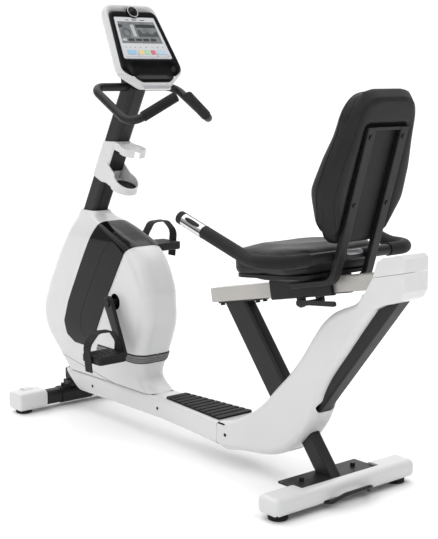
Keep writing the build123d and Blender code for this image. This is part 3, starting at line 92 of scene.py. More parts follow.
def spread(n, l, fac, lo, hi):
    m = n.new("ShaderNodeMapRange")
    m.inputs["To Min"].default_value = lo
    m.inputs["To Max"].default_value = hi
    l.new(fac, m.inputs["Value"])
    return m.outputs["Result"]


def bump(n, l, shader, height, strength, distance):
    b = n.new("ShaderNodeBump")
    b.inputs["Strength"].default_value = strength
    b.inputs["Distance"].default_value = distance
    l.new(height, b.inputs["Height"])
    l.new(b.outputs["Normal"], shader.inputs["Normal"])
    return b


def shade(c, k):
    return tuple(min(1.0, x * k) for x in c)


def moulded(name, color, rough, coat=0.0, grain=900.0, depth=0.05, vary=0.06, metallic=0.0,
            specular=0.5, sheen=0.0, stretch=None, coat_rough=0.05):
    """General surface: slow colour drift, roughness drift and a fine grain bump."""
    mat, n, l, s, place = material(name, color, rough, metallic, coat, coat_rough, specular, sheen)
    slow = noise(n, l, place, 7.0, 3.0)
    l.new(ramp(n, l, slow, shade(color, 1 - vary), shade(color, 1 + vary)), s.inputs["Base Color"])
    patches = noise(n, l, place, 34.0, 5.0)
    l.new(spread(n, l, patches, rough * 0.85, min(1, rough * 1.18)), s.inputs["Roughness"])
    bump(n, l, s, noise(n, l, place, grain, 3.0, 0.5, stretch), depth, 0.0006)
    return mat


white = moulded("gloss_white", (0.66, 0.66, 0.665), 0.3, coat=0.3, grain=160.0, depth=0.03, vary=0.012)
gloss_black = moulded("gloss_black", (0.003, 0.003, 0.0035), 0.11, coat=0.04, grain=120.0, depth=0.02,
                      vary=0.1, specular=0.16)
charcoal = moulded("powder_charcoal", (0.011, 0.011, 0.012), 0.42, grain=1500.0, depth=0.25, vary=0.1,
                   specular=0.3)
dark = moulded("matte_dark", (0.009, 0.009, 0.0095), 0.5, grain=1100.0, depth=0.3, vary=0.12, specular=0.28)
rubber = moulded("rubber_black", (0.0075, 0.0075, 0.0075), 0.62, grain=1300.0, depth=0.35, vary=0.15,
                 specular=0.25)
foam = moulded("foam_grip", (0.012, 0.012, 0.0125), 0.72, grain=1700.0, depth=0.6, vary=0.15,
               sheen=0.05, specular=0.25)
rail_metal = moulded("rail_silver", (0.46, 0.445, 0.42), 0.4, metallic=0.35, grain=900.0, depth=0.12,
                     vary=0.03)
steel = moulded("brushed_steel", (0.62, 0.62, 0.63), 0.28, metallic=1.0, grain=260.0, depth=0.12, vary=0.04,
                stretch=(1, 14, 14))
iron = moulded("turned_iron", (0.18, 0.18, 0.18), 0.45, metallic=0.8, grain=400.0, depth=0.2, vary=0.1)
silver = moulded("silver_trim", (0.6, 0.61, 0.63), 0.25, metallic=0.7, coat=0.3, grain=700.0,
                 depth=0.06, vary=0.03)
panel = moulded("console_silver", (0.66, 0.67, 0.69), 0.38, coat=0.2, grain=1200.0, depth=0.05, vary=0.02)
# painted shade: this grey stands for the shade in the pedestal's grooves on the white housing; it also
# colours the dark parting line over the nose
groove = moulded("groove_shade_and_seam_grey", (0.2, 0.2, 0.205), 0.6, grain=900.0, depth=0.1, vary=0.1)


def leather(name, color, rough):
    mat, n, l, s, place = material(name, color, rough, specular=0.3, sheen=0.04)
    slow = noise(n, l, place, 9.0, 4.0)
    l.new(ramp(n, l, slow, shade(color, 0.85), shade(color, 1.15)), s.inputs["Base Color"])
    cell = n.new("ShaderNodeTexVoronoi")
    cell.feature = "DISTANCE_TO_EDGE"
    cell.inputs["Scale"].default_value = 520.0
    l.new(place, cell.inputs["Vector"])
    fine = noise(n, l, place, 1500.0, 2.0)
    mix = n.new("ShaderNodeMath")
    mix.operation = "MULTIPLY_ADD"
    mix.inputs[1].default_value = 0.35
    l.new(fine, mix.inputs[0])
    l.new(cell.outputs["Distance"], mix.inputs[2])
    l.new(spread(n, l, noise(n, l, place, 60.0, 4.0), rough * 0.85, rough * 1.15), s.inputs["Roughness"])
    bump(n, l, s, mix.outputs[0], 0.35, 0.0004)
    return mat


vinyl = leather("vinyl_top", (0.026, 0.026, 0.027), 0.46)
vinyl_side = leather("vinyl_side", (0.010, 0.010, 0.0105), 0.5)


def key_material(name, color):
    return moulded(name, color, 0.35, coat=0.3, grain=1400.0, depth=0.05, vary=0.03)


keys = {
    "console_key_blue": key_material("key_blue", (0.35, 0.58, 0.80)),
    "console_key_amber": key_material("key_amber", (0.86, 0.66, 0.30)),
    "console_key_green": key_material("key_green", (0.42, 0.74, 0.38)),
    "console_key_red": key_material("key_red", (0.74, 0.16, 0.22)),
    "console_key_cyan": key_material("key_cyan", (0.50, 0.68, 0.82)),
}
screen, sn, sl, ss, splace = material("screen_glass", (0.17, 0.19, 0.195), 0.18, coat=0.8, coat_rough=0.03)
sl.new(ramp(sn, sl, noise(sn, sl, splace, 30.0, 3.0), (0.13, 0.145, 0.15), (0.24, 0.26, 0.265)),
       ss.inputs["Base Color"])
segment = moulded("screen_segment", (0.02, 0.022, 0.022), 0.3, grain=900.0, depth=0.02, vary=0.1)
segment_pale = moulded("screen_pale", (0.48, 0.52, 0.52), 0.3, grain=900.0, depth=0.02, vary=0.05)
paint = moulded("print_dark", (0.05, 0.05, 0.055), 0.5, grain=900.0, depth=0.02, vary=0.1)

LOOK = {
    "seat_post_tube": charcoal, "base_beam_tube": charcoal, "seat_rail": rail_metal,
    "front_post_tube": charcoal, "mast_tube": charcoal, "crank_frame": charcoal,
    "crank_axle_and_pulley": dark, "crank_caps": dark, "crank_arm_left": charcoal,
    "crank_arm_right": charcoal, "pedal_left": dark, "pedal_right": dark, "pedal_strap_left": rubber,
    "pedal_strap_right": rubber, "drive_brackets": steel, "flywheel": iron, "drive_belt": rubber,
    "brake_yoke": steel, "housing_left": white, "housing_right": white, "wrap_panels": gloss_black,
    "power_inlet": dark, "beam_cover": white, "foot_pad": rubber, "rear_cover_left": white,
    "rear_cover_right": white, "rear_head_covers": white, "front_stabiliser": charcoal,
    "front_stabiliser_caps": white, "transport_wheel_left": rubber, "transport_wheel_right": rubber,
    "foot_front_left": rubber, "foot_front_right": rubber, "foot_rear_left": rubber,
    "foot_rear_right": rubber, "rear_stabiliser": charcoal, "rear_stabiliser_cover": white,
    "handlebar": charcoal, "handlebar_grips": foam, "bottle_holder": white, "bottle_tray": dark,
    "console_shell": white, "console_bezel": gloss_black, "console_panel": panel, "console_lcd": screen,
    "console_lip": silver, "seat_carriage_and_pan": dark, "seat_cushion": vinyl, "back_bars": charcoal,
    "backrest_shell": dark, "backrest_cushion": vinyl, "seat_handle": charcoal,
    "seat_handle_grips": foam, "pulse_plates": steel, "seat_lever": charcoal,
    **keys,
}
for name, obj in nodes.items():
    for slot_index in range(max(1, len(obj.material_slots))):
        if slot_index < len(obj.material_slots):
            obj.material_slots[slot_index].material = LOOK[name]
        else:
            obj.data.materials.append(LOOK[name])


# ---------------------------------------------------------------- helpers for new pieces
def add_mesh(name, verts, faces, mat, body, smooth=True):
    me = bpy.data.meshes.new(name)
    me.from_pydata([tuple(v) for v in verts], [], faces)
    me.update()
    ob = bpy.data.objects.new(name, me)
    bpy.context.scene.collection.objects.link(ob)
    me.materials.append(mat)
    if smooth:
        me.polygons.foreach_set("use_smooth", [True] * len(me.polygons))
    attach(ob, body)
    return ob


def tube(name, lines, radius, mat, body, closed=False):
    """Thin round tubes along lists of points, all in one curve piece."""
    cu = bpy.data.curves.new(name, "CURVE")
    cu.dimensions = "3D"
    cu.bevel_depth = radius
    cu.bevel_resolution = 2
    cu.use_fill_caps = True
    for pts in lines:
        sp = cu.splines.new("POLY")
        sp.points.add(len(pts) - 1)
        for p, q in zip(sp.points, pts):
            p.co = (*q, 1)
        sp.use_cyclic_u = closed
    ob = bpy.data.objects.new(name, cu)
    bpy.context.scene.collection.objects.link(ob)
    cu.materials.append(mat)
    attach(ob, body)
    return ob


def tree_of(ob):
    me = ob.data
    return BVHTree.FromPolygons([v.co.copy() for v in me.vertices], [list(p.vertices) for p in me.polygons])


# ---------------------------------------------------------------- cushions by cloth simulation
PAD_VOXEL, PAD_PRESSURE = 0.0055, 4.0
SETTLE_FRAMES, SMOOTH_ROUNDS = 20, 60
PAD_FILL = 0.7


def puffed(name, node, shrink, cap, mat):
    """Copies the CAD solid a little smaller, remeshes it, inflates it as cloth and caps the swelling."""
    lo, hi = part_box(node)
    mid = (lo + hi) / 2
    me = nodes[node].data.copy()
    for v in me.vertices:
        v.co = mid + (v.co - mid) * shrink
    me.materials.clear()
    me.materials.append(mat)
    ob = bpy.data.objects.new(name, me)
    bpy.context.scene.collection.objects.link(ob)
    rm = ob.modifiers.new("remesh", "REMESH")
    rm.mode = "VOXEL"
    rm.voxel_size = PAD_VOXEL
    flatten(ob)
    base = [v.co.copy() for v in ob.data.vertices]
    cl = ob.modifiers.new("cloth", "CLOTH")
    cl.settings.quality = 5
    cl.settings.mass = 0.3
    cl.settings.use_pressure = True
    cl.settings.uniform_pressure_force = PAD_PRESSURE
    cl.settings.tension_stiffness = 20
    cl.settings.compression_stiffness = 20
    cl.settings.bending_stiffness = 4
    cl.settings.effector_weights.gravity = 0
    cl.point_cache.frame_start = 1
    cl.point_cache.frame_end = SETTLE_FRAMES
    for f in range(1, SETTLE_FRAMES + 1):
        bpy.context.scene.frame_set(f)
    flatten(ob)
    bpy.context.scene.frame_set(1)
    moves = np.array([v.co - b for v, b in zip(ob.data.vertices, base)])
    ends = np.array([e.vertices[:] for e in ob.data.edges])
    count = np.bincount(ends.ravel(), minlength=len(moves))[:, None]
    for _ in range(SMOOTH_ROUNDS):
        total = np.zeros_like(moves)
        np.add.at(total, ends[:, 0], moves[ends[:, 1]])
        np.add.at(total, ends[:, 1], moves[ends[:, 0]])
        moves = 0.5 * moves + 0.5 * total / count
    for v, b, move in zip(ob.data.vertices, base, moves):
        move = Vector(move)
        v.co = b + move * min(1.0, cap / max(move.length, 1e-9))
    return ob


def flatten(ob):
    """Applies every modifier of ob to its mesh."""
    dg = bpy.context.evaluated_depsgraph_get()
    me = bpy.data.meshes.new_from_object(ob.evaluated_get(dg), depsgraph=dg)
    ob.modifiers.clear()
    ob.data = me


def relax(ob, rounds):
    """Evens out the mesh: each round moves every vertex half way to the mean of its neighbours."""
    bm = bmesh.new()
    bm.from_mesh(ob.data)
    for _ in range(rounds):
        bmesh.ops.smooth_vert(bm, verts=bm.verts, factor=0.5, use_axis_x=True, use_axis_y=True,
                              use_axis_z=True)
    bm.to_mesh(ob.data)
    bm.free()
    ob.data.polygons.foreach_set("use_smooth", [True] * len(ob.data.polygons))


def finish_soft(ob, body, slot, fill, *replaced):
    """Subdivides the pad once, shades it smooth, hangs it on the body and hides the CAD solids it replaces.
    """
    sub = ob.modifiers.new("fine", "SUBSURF")
    sub.levels = 1
    sub.render_levels = 1
    flatten(ob)
    ob.data.polygons.foreach_set("use_smooth", [True] * len(ob.data.polygons))
    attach(ob, body)
    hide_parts(*replaced)


seat = puffed("seat_pad", "seat_cushion", 0.93, 0.024, vinyl)
lo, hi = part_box("seat_cushion")
mid = (lo + hi) / 2
half = (hi - lo) / 2
PAN_TILT = math.radians(5.0)
PAN_TAN = math.tan(PAN_TILT)
DISH, REAR_RISE = 0.010, 0.008
for v in seat.data.vertices:
    u = (v.co.x - mid.x) / half.x
    w = (v.co.y - mid.y) / half.y
    base_z = lo.z + (mid.x + half.x - v.co.x) * PAN_TAN
    up = max(0.0, min(1.0, (v.co.z - base_z) / 0.062))
    dish = DISH * w * w - DISH * (1 - w * w) * (1 - u * u)
    rear = REAR_RISE * max(0.0, -u) ** 2
    v.co.z += up * (dish + rear)
relax(seat, 8)
seat.data.materials.append(vinyl_side)
for p in seat.data.polygons:
    c = p.center
    base_z = lo.z + (mid.x + half.x - c.x) * PAN_TAN
    p.material_index = 1 if c.z - base_z < 0.038 and p.normal.z < 0.75 else 0
finish_soft(seat, "seat", "upholstery", PAD_FILL, "seat_cushion")

BACK_FOOT = Vector((-0.663, 0, 0.805))
SIDES_FROM = 0.085
WIDTHS = ((-0.122, 1.12), (0.0, 1.07), (0.09, 1.0), (0.20, 0.78), (0.300, 0.46))


def table_value(table, x):
    """Smooth value between the rows of a (place, value) table."""
    for (x0, v0), (x1, v1) in zip(table, table[1:]):
        if x <= x1 or (x1, v1) == table[-1]:
            t = max(0.0, min(1.0, (x - x0) / (x1 - x0)))
            return v0 + (v1 - v0) * t * t * (3 - 2 * t)
    return table[-1][1]


def egg(ob, forward):
    """Wider at the loins and narrower at the shoulders; forward is how far the loins stand out."""
    for v in ob.data.vertices:
        s = (v.co - BACK_FOOT).dot(back_up)
        d = (v.co - BACK_FOOT).dot(back_fwd)
        y = abs(v.co.y)
        if y > SIDES_FROM:
            v.co.y = math.copysign(SIDES_FROM + (y - SIDES_FROM) * table_value(WIDTHS, s), v.co.y)
        swell = forward * (math.exp(-((s - 0.01) / 0.10) ** 2) - 0.45 * max(0.0, (s - 0.12) / 0.18))
        v.co += back_fwd * (swell * max(0.0, (d - 0.045) / 0.04))


LEAN = math.radians(16.5)
back_up = Vector((-math.sin(LEAN), 0, math.cos(LEAN)))
back_fwd = Vector((math.cos(LEAN), 0, math.sin(LEAN)))
back = puffed("back_pad", "backrest_cushion", 0.955, 0.022, vinyl_side)
egg(back, 0.014)
relax(back, 16)
finish_soft(back, "seat", "upholstery", PAD_FILL, "backrest_cushion")


def ring_on(ob, centre, u_axis, v_axis, reach, count=120):
    """Points where rays from a ring round the centre meet the surface of ob, in one plane."""
    t = tree_of(ob)
    pts = []
    for k in range(count):
        a = 2 * math.pi * k / count
        d = (u_axis * math.cos(a) + v_axis * math.sin(a)).normalized()
        hit = t.ray_cast(centre + d * reach, -d, reach)
        if hit[0] is not None:
            pts.append(hit[0])
    return pts


# seams of the seat: welts round the top edge and near the bottom
pan_fwd = Vector((math.cos(PAN_TILT), 0, -math.sin(PAN_TILT)))
across = Vector((0, 1, 0))
pan_up = pan_fwd.cross(across)
floor_of_seat = Vector((mid.x, 0, lo.z + half.x * PAN_TAN))
for label, height, r in (("seat_welt_top", 0.043, 0.0016), ("seat_welt_low", 0.016, 0.0013)):
    pts = ring_on(seat, floor_of_seat + pan_up * height, pan_fwd, across, 0.5)
    tube(label, [pts], r, vinyl_side, "seat", closed=True)

# seams of the backrest: a welt round the back edge and one round the front edge
back_mid = BACK_FOOT + back_up * 0.088
for label, depth, r in (("back_welt_rear", 0.049, 0.0016), ("back_welt_front", 0.070, 0.0015)):
    pts = ring_on(back, back_mid + back_fwd * depth, across, back_up, 0.5)
    tube(label, [pts], r, vinyl_side, "seat", closed=True)


# ---------------------------------------------------------------- seam lines, turned and wrapped pieces
def section_lines(ob, origin, normal, keep):
    """Short lines where a plane cuts the skin of ob, kept where keep(point) is true."""
    bm = bmesh.new()
    bm.from_mesh(ob.data)
    bmesh.ops.remove_doubles(bm, verts=bm.verts, dist=1e-6)
    everything = bm.verts[:] + bm.edges[:] + bm.faces[:]
    cut = bmesh.ops.bisect_plane(bm, geom=everything, plane_co=origin, plane_no=normal, dist=1e-7)
    edges = [e for e in cut["geom_cut"] if isinstance(e, bmesh.types.BMEdge)]
    lines = [(e.verts[0].co.copy(), e.verts[1].co.copy()) for e in edges
             if keep((e.verts[0].co + e.verts[1].co) / 2) and e.calc_length() > 1e-6]
    bm.free()
    return lines


def lines_on(name, ob, cuts, keep, radius, mat, body):
    """Thin tubes laid on the skin of ob where planes meet it."""
    lines = []
    for origin, normal in cuts:
        lines += section_lines(ob, origin, normal, keep)
    if lines:
        tube(name, lines, radius, mat, body)


def lathe(name, centre, axis, profile, mat, body, count=40):
    """Turned piece: profile is a list of (radius, height along the axis)."""
    axis = Vector(axis).normalized()
    side = axis.orthogonal().normalized()
    other = axis.cross(side)
    verts, faces = [], []
    for r, h in profile:
        for k in range(count):
            a = 2 * math.pi * k / count
            verts.append(Vector(centre) + axis * h + (side * math.cos(a) + other * math.sin(a)) * r)
    rings = len(profile)
    for i in range(rings - 1):
        for k in range(count):
            m = (k + 1) % count
            faces.append((i * count + k, i * count + m, (i + 1) * count + m, (i + 1) * count + k))
    faces.append(tuple(range(count - 1, -1, -1)))
    faces.append(tuple((rings - 1) * count + k for k in range(count)))
    return add_mesh(name, verts, faces, mat, body)


def wrapped_oval(name, centre, along, toward, radius, half_length, half_angle, lift, mat, body,
                 power=2.0):
    """Thin rounded patch wrapped on a tube: centre on the tube's axis, toward is the middle of the patch."""
    along = along.normalized()
    toward = (toward - along * toward.dot(along)).normalized()
    third = along.cross(toward)
    verts, faces = [], []
    rings, count = 6, 48
    for i in range(rings + 1):
        share = 1 - i / rings
        for k in range(count):
            a = 2 * math.pi * k / count
            ca, sa = math.cos(a), math.sin(a)
            u = math.copysign(abs(ca) ** (2 / power), ca) * share * half_length
            w = math.copysign(abs(sa) ** (2 / power), sa) * share * half_angle
            r = radius + (0 if i == 0 else lift)
            verts.append(centre + along * u + (toward * math.cos(w) + third * math.sin(w)) * r)
    for i in range(rings):
        for k in range(count):
            m = (k + 1) % count
            faces.append((i * count + k, i * count + m, (i + 1) * count + m, (i + 1) * count + k))
    return add_mesh(name, verts, faces, mat, body)


def outer_skin(ob):
    """A test for points on the outside face of a hollow half shell, away from where the halves meet."""
    tree = tree_of(ob)

    def test(c):
        out = Vector((c.x - 0.5, c.y, 0)).normalized()
        return abs(c.y) > 0.0015 and tree.ray_cast(c + out * 0.0012, out, 0.02)[0] is None

    return test


# housing: parting line over the nose, and painted shade for the two grooves round the pedestal: black lines
# at the grooves and a grey band between, laid as thin tubes on the white skin with no recess cut
LEVEL = Vector((0, 0, 1))
GROOVE_REACH, SEAM_REACH = 0.47, 0.345
# heights of the painted groove shade: black lines at the two grooves, grey tubes filling the band between
# them
GROOVE_SHADE_LINES = (0.230, 0.256)
GROOVE_SHADE_FILL = (0.2355, 0.243, 0.2505)
for side_name in ("left", "right"):
    half_shell = nodes["housing_" + side_name]
    outside = outer_skin(half_shell)
    lines_on("groove_shade_lines_" + side_name, half_shell,
             [(Vector((0, 0, z)), LEVEL) for z in GROOVE_SHADE_LINES],
             lambda c, o=outside: c.x < GROOVE_REACH and o(c), 0.0022, rubber, "frame")
    lines_on("groove_shade_band_" + side_name, half_shell,
             [(Vector((0, 0, z)), LEVEL) for z in GROOVE_SHADE_FILL],
             lambda c, o=outside: c.x < GROOVE_REACH and o(c), 0.0042, groove, "frame")
    lines_on("nose_seam_" + side_name, half_shell,
             [(Vector((0.78, 0, 0.195)), Vector((-0.148, 0, 0.989)))],
             lambda c, o=outside: c.x > SEAM_REACH and o(c), 0.0008, groove, "frame")

# screws sunk in the beam and rear covers
SCREW_Z = 0.104
screw = [(0.0052, -0.002), (0.0052, 0.0004), (0.0045, 0.001), (0.0028, 0.001), (0.0022, 0.0003),
         (0.0004, 0.0003)]
for label, node, x in (("beam_front", "beam_cover", 0.520), ("beam_middle", "beam_cover", 0.165),
                       ("rear_low", "rear_cover", -0.185)):
    for side, side_name in ((1, "left"), (-1, "right")):
        piece = nodes[node if node == "beam_cover" else node + "_" + side_name]
        hit = tree_of(piece).ray_cast(Vector((x, side * 0.3, SCREW_Z)), Vector((0, -side, 0)), 0.3)
        if hit[0] is not None:
            lathe("screw_" + label + "_" + side_name, hit[0], (0, side, 0), screw, rubber, "frame",
                  20)

# console face
FACE = Vector((0.332, 0, 1.287))
FACE_LEAN = math.radians(31)
face_up = Vector((math.sin(FACE_LEAN), 0, math.cos(FACE_LEAN)))
face_out = Vector((-math.cos(FACE_LEAN), 0, math.sin(FACE_LEAN)))


def face_depth(node):
    """How far the node stands out from the console's face plane."""
    return max((v.co - FACE).dot(face_out) for v in nodes[node].data.vertices)


def face_point(y, s, depth):
    """Point on the console: y across, s up the face, depth out of it."""
    return FACE + face_up * s + Vector((0, y, 0)) + face_out * depth


def printed(name, rects, depth, mat, height=0.0003):
    """Thin bevelled plates on the console face: each rect is (y0, y1, s0, s1) in metres."""
    verts, faces = [], []
    for y0, y1, s0, s1 in rects:
        base = len(verts)
        inset = min(0.0004, abs(y1 - y0) / 4, abs(s1 - s0) / 4)
        for d, k in ((-0.0002, 0), (height, inset)):
            for y, s in ((y0 + k, s0 + k), (y1 - k, s0 + k), (y1 - k, s1 - k), (y0 + k, s1 - k)):
                verts.append(face_point(y, s, depth + d))
        faces.append((base + 4, base + 5, base + 6, base + 7))
        for k in range(4):
            m = (k + 1) % 4
            faces.append((base + k, base + m, base + 4 + m, base + 4 + k))
    add_mesh(name, verts, faces, mat, "frame", smooth=False)


def rounded(corners, radii, steps=7):
    """Closed outline with every corner rounded."""
    pts = []
    n = len(corners)
    for k in range(n):
        p = Vector(corners[k])
        a = (Vector(corners[k - 1]) - p).normalized()
        b = (Vector(corners[(k + 1) % n]) - p).normalized()
        half = a.angle(b) / 2
        reach = radii[k] / math.tan(half)
        centre = p + (a + b).normalized() * (radii[k] / math.sin(half))
        start = p + a * reach - centre
        sweep = math.pi - 2 * half
        turn = 1 if a.x * b.y - a.y * b.x < 0 else -1
        for i in range(steps + 1):
            t = turn * sweep * i / steps
            pts.append(centre + Vector((start.x * math.cos(t) - start.y * math.sin(t),
                                        start.x * math.sin(t) + start.y * math.cos(t))))
    return pts


def at_angles(outline, centre, count):
    """The outline where rays from the centre cross it, at even angles."""
    pts = []
    for k in range(count):
        a = 2 * math.pi * k / count
        d = Vector((math.cos(a), math.sin(a)))
        best = 0.0
        for p, q in zip(outline, outline[1:] + outline[:1]):
            e = q - p
            den = d.x * e.y - d.y * e.x
            if abs(den) < 1e-12:
                continue
            w = p - centre
            t = (w.x * e.y - w.y * e.x) / den
            u = (w.x * d.y - w.y * d.x) / den
            if t > best and -1e-6 <= u <= 1 + 1e-6:
                best = t
        pts.append(centre + d * best)
    return pts


def ring_skin(name, rings, mat, close_ends=(False, False)):
    """Skin through rings of points, each ring the same length."""
    count = len(rings[0])
    verts = [p for ring in rings for p in ring]
    faces = []
    for i in range(len(rings) - 1):
        for k in range(count):
            m = (k + 1) % count
            faces.append((i * count + k, i * count + m, (i + 1) * count + m, (i + 1) * count + k))
    if close_ends[0]:
        faces.append(tuple(range(count - 1, -1, -1)))
    if close_ends[1]:
        faces.append(tuple((len(rings) - 1) * count + k for k in range(count)))
    return add_mesh(name, verts, faces, mat, "frame")


FACE_MID = Vector((0, -0.076))
ANGLES = 160
SHELL_CORNERS = [(-0.094, 0.067), (0.094, 0.067), (0.120, -0.172), (0.054, -0.224), (-0.054, -0.224),
                 (-0.120, -0.172)]
shell_line = at_angles(rounded(SHELL_CORNERS, [0.030, 0.030, 0.034, 0.022, 0.022, 0.034]), FACE_MID, ANGLES)
rings = []
for scale, depth in ((0.84, -0.0440), (0.90, -0.0415), (0.955, -0.035), (0.985, -0.027), (1.0, -0.018),
                     (1.0, -0.009), (0.993, -0.0050), (0.978, -0.0030), (0.955, -0.0024), (0.90, -0.0030),
                     (0.88, -0.0080)):
    rings.append([face_point(*(FACE_MID + (p - FACE_MID) * scale), depth) for p in shell_line])
console = ring_skin("console_moulding", rings, white, (True, True))
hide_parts("console_shell")

WINDOW_CORNERS = ((-0.0772, 0.0178), (0.0772, 0.0178), (0.0934, -0.1312), (-0.0934, -0.1312))
opening = at_angles([Vector(p) for p in WINDOW_CORNERS], FACE_MID, ANGLES)
BEZEL_CORNERS = [(-0.088, 0.040), (0.088, 0.040), (0.115, -0.170), (0.052, -0.211), (-0.052, -0.211),
                 (-0.115, -0.170)]
bezel_line = at_angles(rounded(BEZEL_CORNERS, [0.024, 0.024, 0.026, 0.018, 0.018, 0.026]), FACE_MID, ANGLES)
rings = []
for share, depth in ((0.0, -0.0045), (0.0, 0.0012), (0.03, 0.0019), (0.12, 0.0021), (0.30, 0.0021),
                     (0.45, 0.0021), (0.60, 0.0021), (0.75, 0.0021), (0.86, 0.0019), (0.94, 0.0010),
                     (0.985, -0.0006), (1.0, -0.0030), (1.0, -0.0060)):
    ring = []
    for p, q in zip(opening, bezel_line):
        c = p + (q - p) * share
        low = max(0.0, min(1.0, (-0.142 - c.y) / 0.010)) * max(0.0, min(1.0, (0.089 - abs(c.x)) / 0.014))
        dish = 0.0042 * low * max(0.0, min(1.0, (c.y + 0.203) / 0.012))
        ring.append(face_point(c.x, c.y, depth - dish))
    rings.append(ring)
bezel_piece = ring_skin("console_surround", rings, gloss_black)
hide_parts("console_bezel")

glass = face_depth("console_lcd")
bars = []
for k in range(14):
    tall = 0.010 + 0.016 * (0.5 + 0.5 * math.sin(1.1 * k + 0.6)) * (0.6 + 0.4 * math.cos(0.37 * k))
    y = 0.004 - 0.0052 * k
    bars.append((y - 0.0040, y, -0.052, -0.052 + tall))
printed("screen_profile", bars, glass, segment)
printed("screen_blocks", [(-0.070, 0.006, -0.020, -0.008), (0.056, 0.072, -0.020, -0.009),
                          (0.028, 0.050, -0.068, -0.059), (0.000, 0.022, -0.068, -0.059),
                          (-0.028, -0.006, -0.068, -0.059), (-0.056, -0.034, -0.068, -0.059)],
        glass, segment)
printed("screen_boxes", [(0.012, 0.026, -0.052, -0.009), (0.056, 0.072, -0.068, -0.059)], glass,
        segment_pale)
DIAL_RADIUS = 0.0135
dial = [face_point(0.048 + DIAL_RADIUS * math.cos(a), -0.038 + DIAL_RADIUS * math.sin(a), glass + 0.0002)
        for a in (2 * math.pi * k / 40 for k in range(40))]
tube("screen_dial", [dial], 0.0009, segment, "frame", closed=True)

sheet = face_depth("console_panel")
brackets = []
BRACKET_LOW, BRACKET_TOP, BRACKET_LINE = -0.1245, -0.113, 0.0009
for y0, y1 in ((0.033, 0.080), (-0.037, 0.032), (-0.080, -0.040)):
    brackets.append((y0, y1, BRACKET_LOW, -0.1235))
    brackets.append((y0, y0 + BRACKET_LINE, BRACKET_LOW, BRACKET_TOP))
    brackets.append((y1 - BRACKET_LINE, y1, BRACKET_LOW, BRACKET_TOP))
printed("key_brackets", brackets, sheet, paint)
MARK_PLACES = (-0.072, -0.052, -0.030, -0.008, 0.014, 0.034, 0.052, 0.068)
dots = [(y, y + 0.0034, -0.0915, -0.0885) for y in MARK_PLACES]
printed("key_marks", dots, sheet, paint)
printed("panel_marks", [(0.024, 0.036, 0.0055, 0.0085), (-0.006, 0.012, 0.0055, 0.0085),
                        (-0.036, -0.018, 0.0055, 0.0085)], sheet, paint)

# plain round cap over the top of the bezel
cap_at = face_point(0, 0.034, 0.0016)
lathe("bezel_cap", cap_at, face_out, [(0.0205, -0.004), (0.0205, 0.003), (0.0195, 0.0045), (0.0170, 0.0045),
                                      (0.0165, 0.0036), (0.0120, 0.0046), (0.0060, 0.0052), (0.0008, 0.0054)],
      gloss_black, "frame", 56)
rim = [cap_at + face_out * 0.0045 + (face_up * math.sin(a) + Vector((0, 1, 0)) * math.cos(a)) * 0.0182
       for a in (2 * math.pi * k / 56 for k in range(56))]
tube("bezel_cap_rim", [rim], 0.0011, silver, "frame", closed=True)

# pulse sensors: a dark oval inlay wrapped over each plate
lo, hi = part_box("pulse_plates")
GRIP_Y = 0.260
TIP = Vector((-0.222, GRIP_Y, 0.750))
KNEE = Vector((-0.496, GRIP_Y, 0.668))
run = (KNEE - TIP).normalized()
for side, side_name in ((1, "left"), (-1, "right")):
    flip = Vector((1, side, 1))
    middle = (TIP + run * 0.058) * flip
    wrapped_oval("sensor_inlay_" + side_name, middle, run, Vector((-0.25, 0.75 * side, 0.7)), hi.y - GRIP_Y,
                 0.031, 0.36, 0.0005, gloss_black, "seat", 2.6)

# plain silver label on the cross tube behind the seat
lo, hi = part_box("seat_handle")
cross = Vector((lo.x + 0.015, -0.010, 0.668))
wrapped_oval("handle_label", cross, Vector((0, 1, 0)), Vector((-0.8, 0, 0.6)), 0.0151, 0.030, 0.5, 0.0003,
             silver, "seat", 7.0)

# rear shell of the backrest: the CAD shell, egg-shaped and rounded like a moulding, with its fine rim line
shell_mesh = nodes["backrest_shell"].data.copy()
shell = bpy.data.objects.new("backrest_moulding", shell_mesh)
bpy.context.scene.collection.objects.link(shell)
egg(shell, 0.0)
remesh = shell.modifiers.new("remesh", "REMESH")
remesh.mode = "VOXEL"
remesh.voxel_size = 0.0030
flatten(shell)
relax(shell, 34)
shell.data.materials.clear()
shell.data.materials.append(dark)
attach(shell, "seat")
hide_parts("backrest_shell")

RIM_LINE_FROM = 0.080


def near_edge(c):
    """The rim line shows only outside the recess for the bars."""
    s = (c - BACK_FOOT).dot(back_up)
    return abs(c.y) > RIM_LINE_FROM or s > 0.215 or s < -0.08


lines_on("shell_rim", shell, [(BACK_FOOT + back_fwd * 0.012, back_fwd)], near_edge, 0.0008, rubber, "seat")

# ---------------------------------------------------------------- camera, floor and light
cam_data = bpy.data.cameras.new("photo_view")
cam = bpy.data.objects.new("photo_view", cam_data)
bpy.context.scene.collection.objects.link(cam)
cam.location = (-2.74448, 2.26296, 1.13351)
cam.rotation_euler = Vector((0.75375, -0.63731, -0.1603)).to_track_quat("-Z", "Y").to_euler()
cam_data.lens = 80.93
cam_data.sensor_width = 36
bpy.context.scene.camera = cam

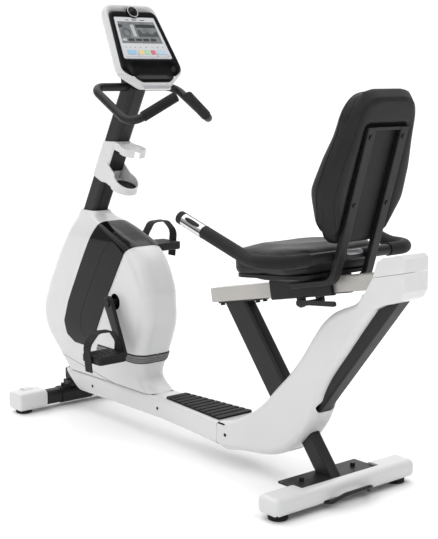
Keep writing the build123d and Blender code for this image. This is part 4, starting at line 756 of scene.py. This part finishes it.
floor_me = bpy.data.meshes.new("studio_floor")
FLOOR_HALF = 14
floor_me.from_pydata([(x * FLOOR_HALF, y * FLOOR_HALF, 0) for x, y in ((-1, -1), (1, -1), (1, 1), (-1, 1))],
                     [], [(0, 1, 2, 3)])
floor = bpy.data.objects.new("studio_floor", floor_me)
bpy.context.scene.collection.objects.link(floor)
floor_mat = material("floor_white", (0.96, 0.96, 0.96), 0.75, specular=0.1)[0]
floor_me.materials.append(floor_mat)

world = bpy.data.worlds.new("studio")
bpy.context.scene.world = world
world.use_nodes = True
wt = world.node_tree
wn = wt.nodes
direction = wn.new("ShaderNodeTexCoord")
toward = wn.new("ShaderNodeVectorMath")
toward.operation = "DOT_PRODUCT"
toward.inputs[1].default_value = (0.75, -0.64, 0.15)
wt.links.new(direction.outputs["Generated"], toward.inputs[0])
sky = wn.new("ShaderNodeValToRGB")
sky.color_ramp.elements[0].position = 0.5
sky.color_ramp.elements[0].color = (0.20, 0.20, 0.203, 1)
sky.color_ramp.elements[1].position = 0.93
sky.color_ramp.elements[1].color = (1, 1, 1, 1)
half_turn = wn.new("ShaderNodeMapRange")
half_turn.inputs["From Min"].default_value = -1.0
wt.links.new(toward.outputs["Value"], half_turn.inputs["Value"])
wt.links.new(half_turn.outputs["Result"], sky.inputs["Fac"])
wt.links.new(sky.outputs["Color"], wn["Background"].inputs["Color"])
wn["Background"].inputs["Strength"].default_value = 1.1


def softbox(name, where, target, size, power):
    li = bpy.data.lights.new(name, "AREA")
    li.shape = "RECTANGLE"
    li.size, li.size_y = size
    li.energy = power
    ob = bpy.data.objects.new(name, li)
    ob.location = where
    ob.rotation_euler = (Vector(target) - Vector(where)).to_track_quat("-Z", "Y").to_euler()
    bpy.context.scene.collection.objects.link(ob)


softbox("key_box", (-1.0, 3.4, 2.6), (0, 0, 0.6), (1.6, 2.2), 22)
softbox("rear_box", (-3.6, 0.2, 1.9), (0, 0, 0.5), (1.2, 1.6), 14)
sun_data = bpy.data.lights.new("ceiling", "SUN")
sun_data.energy = 2.6
sun_data.angle = math.radians(100)
sun = bpy.data.objects.new("ceiling", sun_data)
sun.rotation_euler = (math.radians(-8), math.radians(6), 0)
bpy.context.scene.collection.objects.link(sun)
bpy.context.scene.view_settings.view_transform = "Standard"
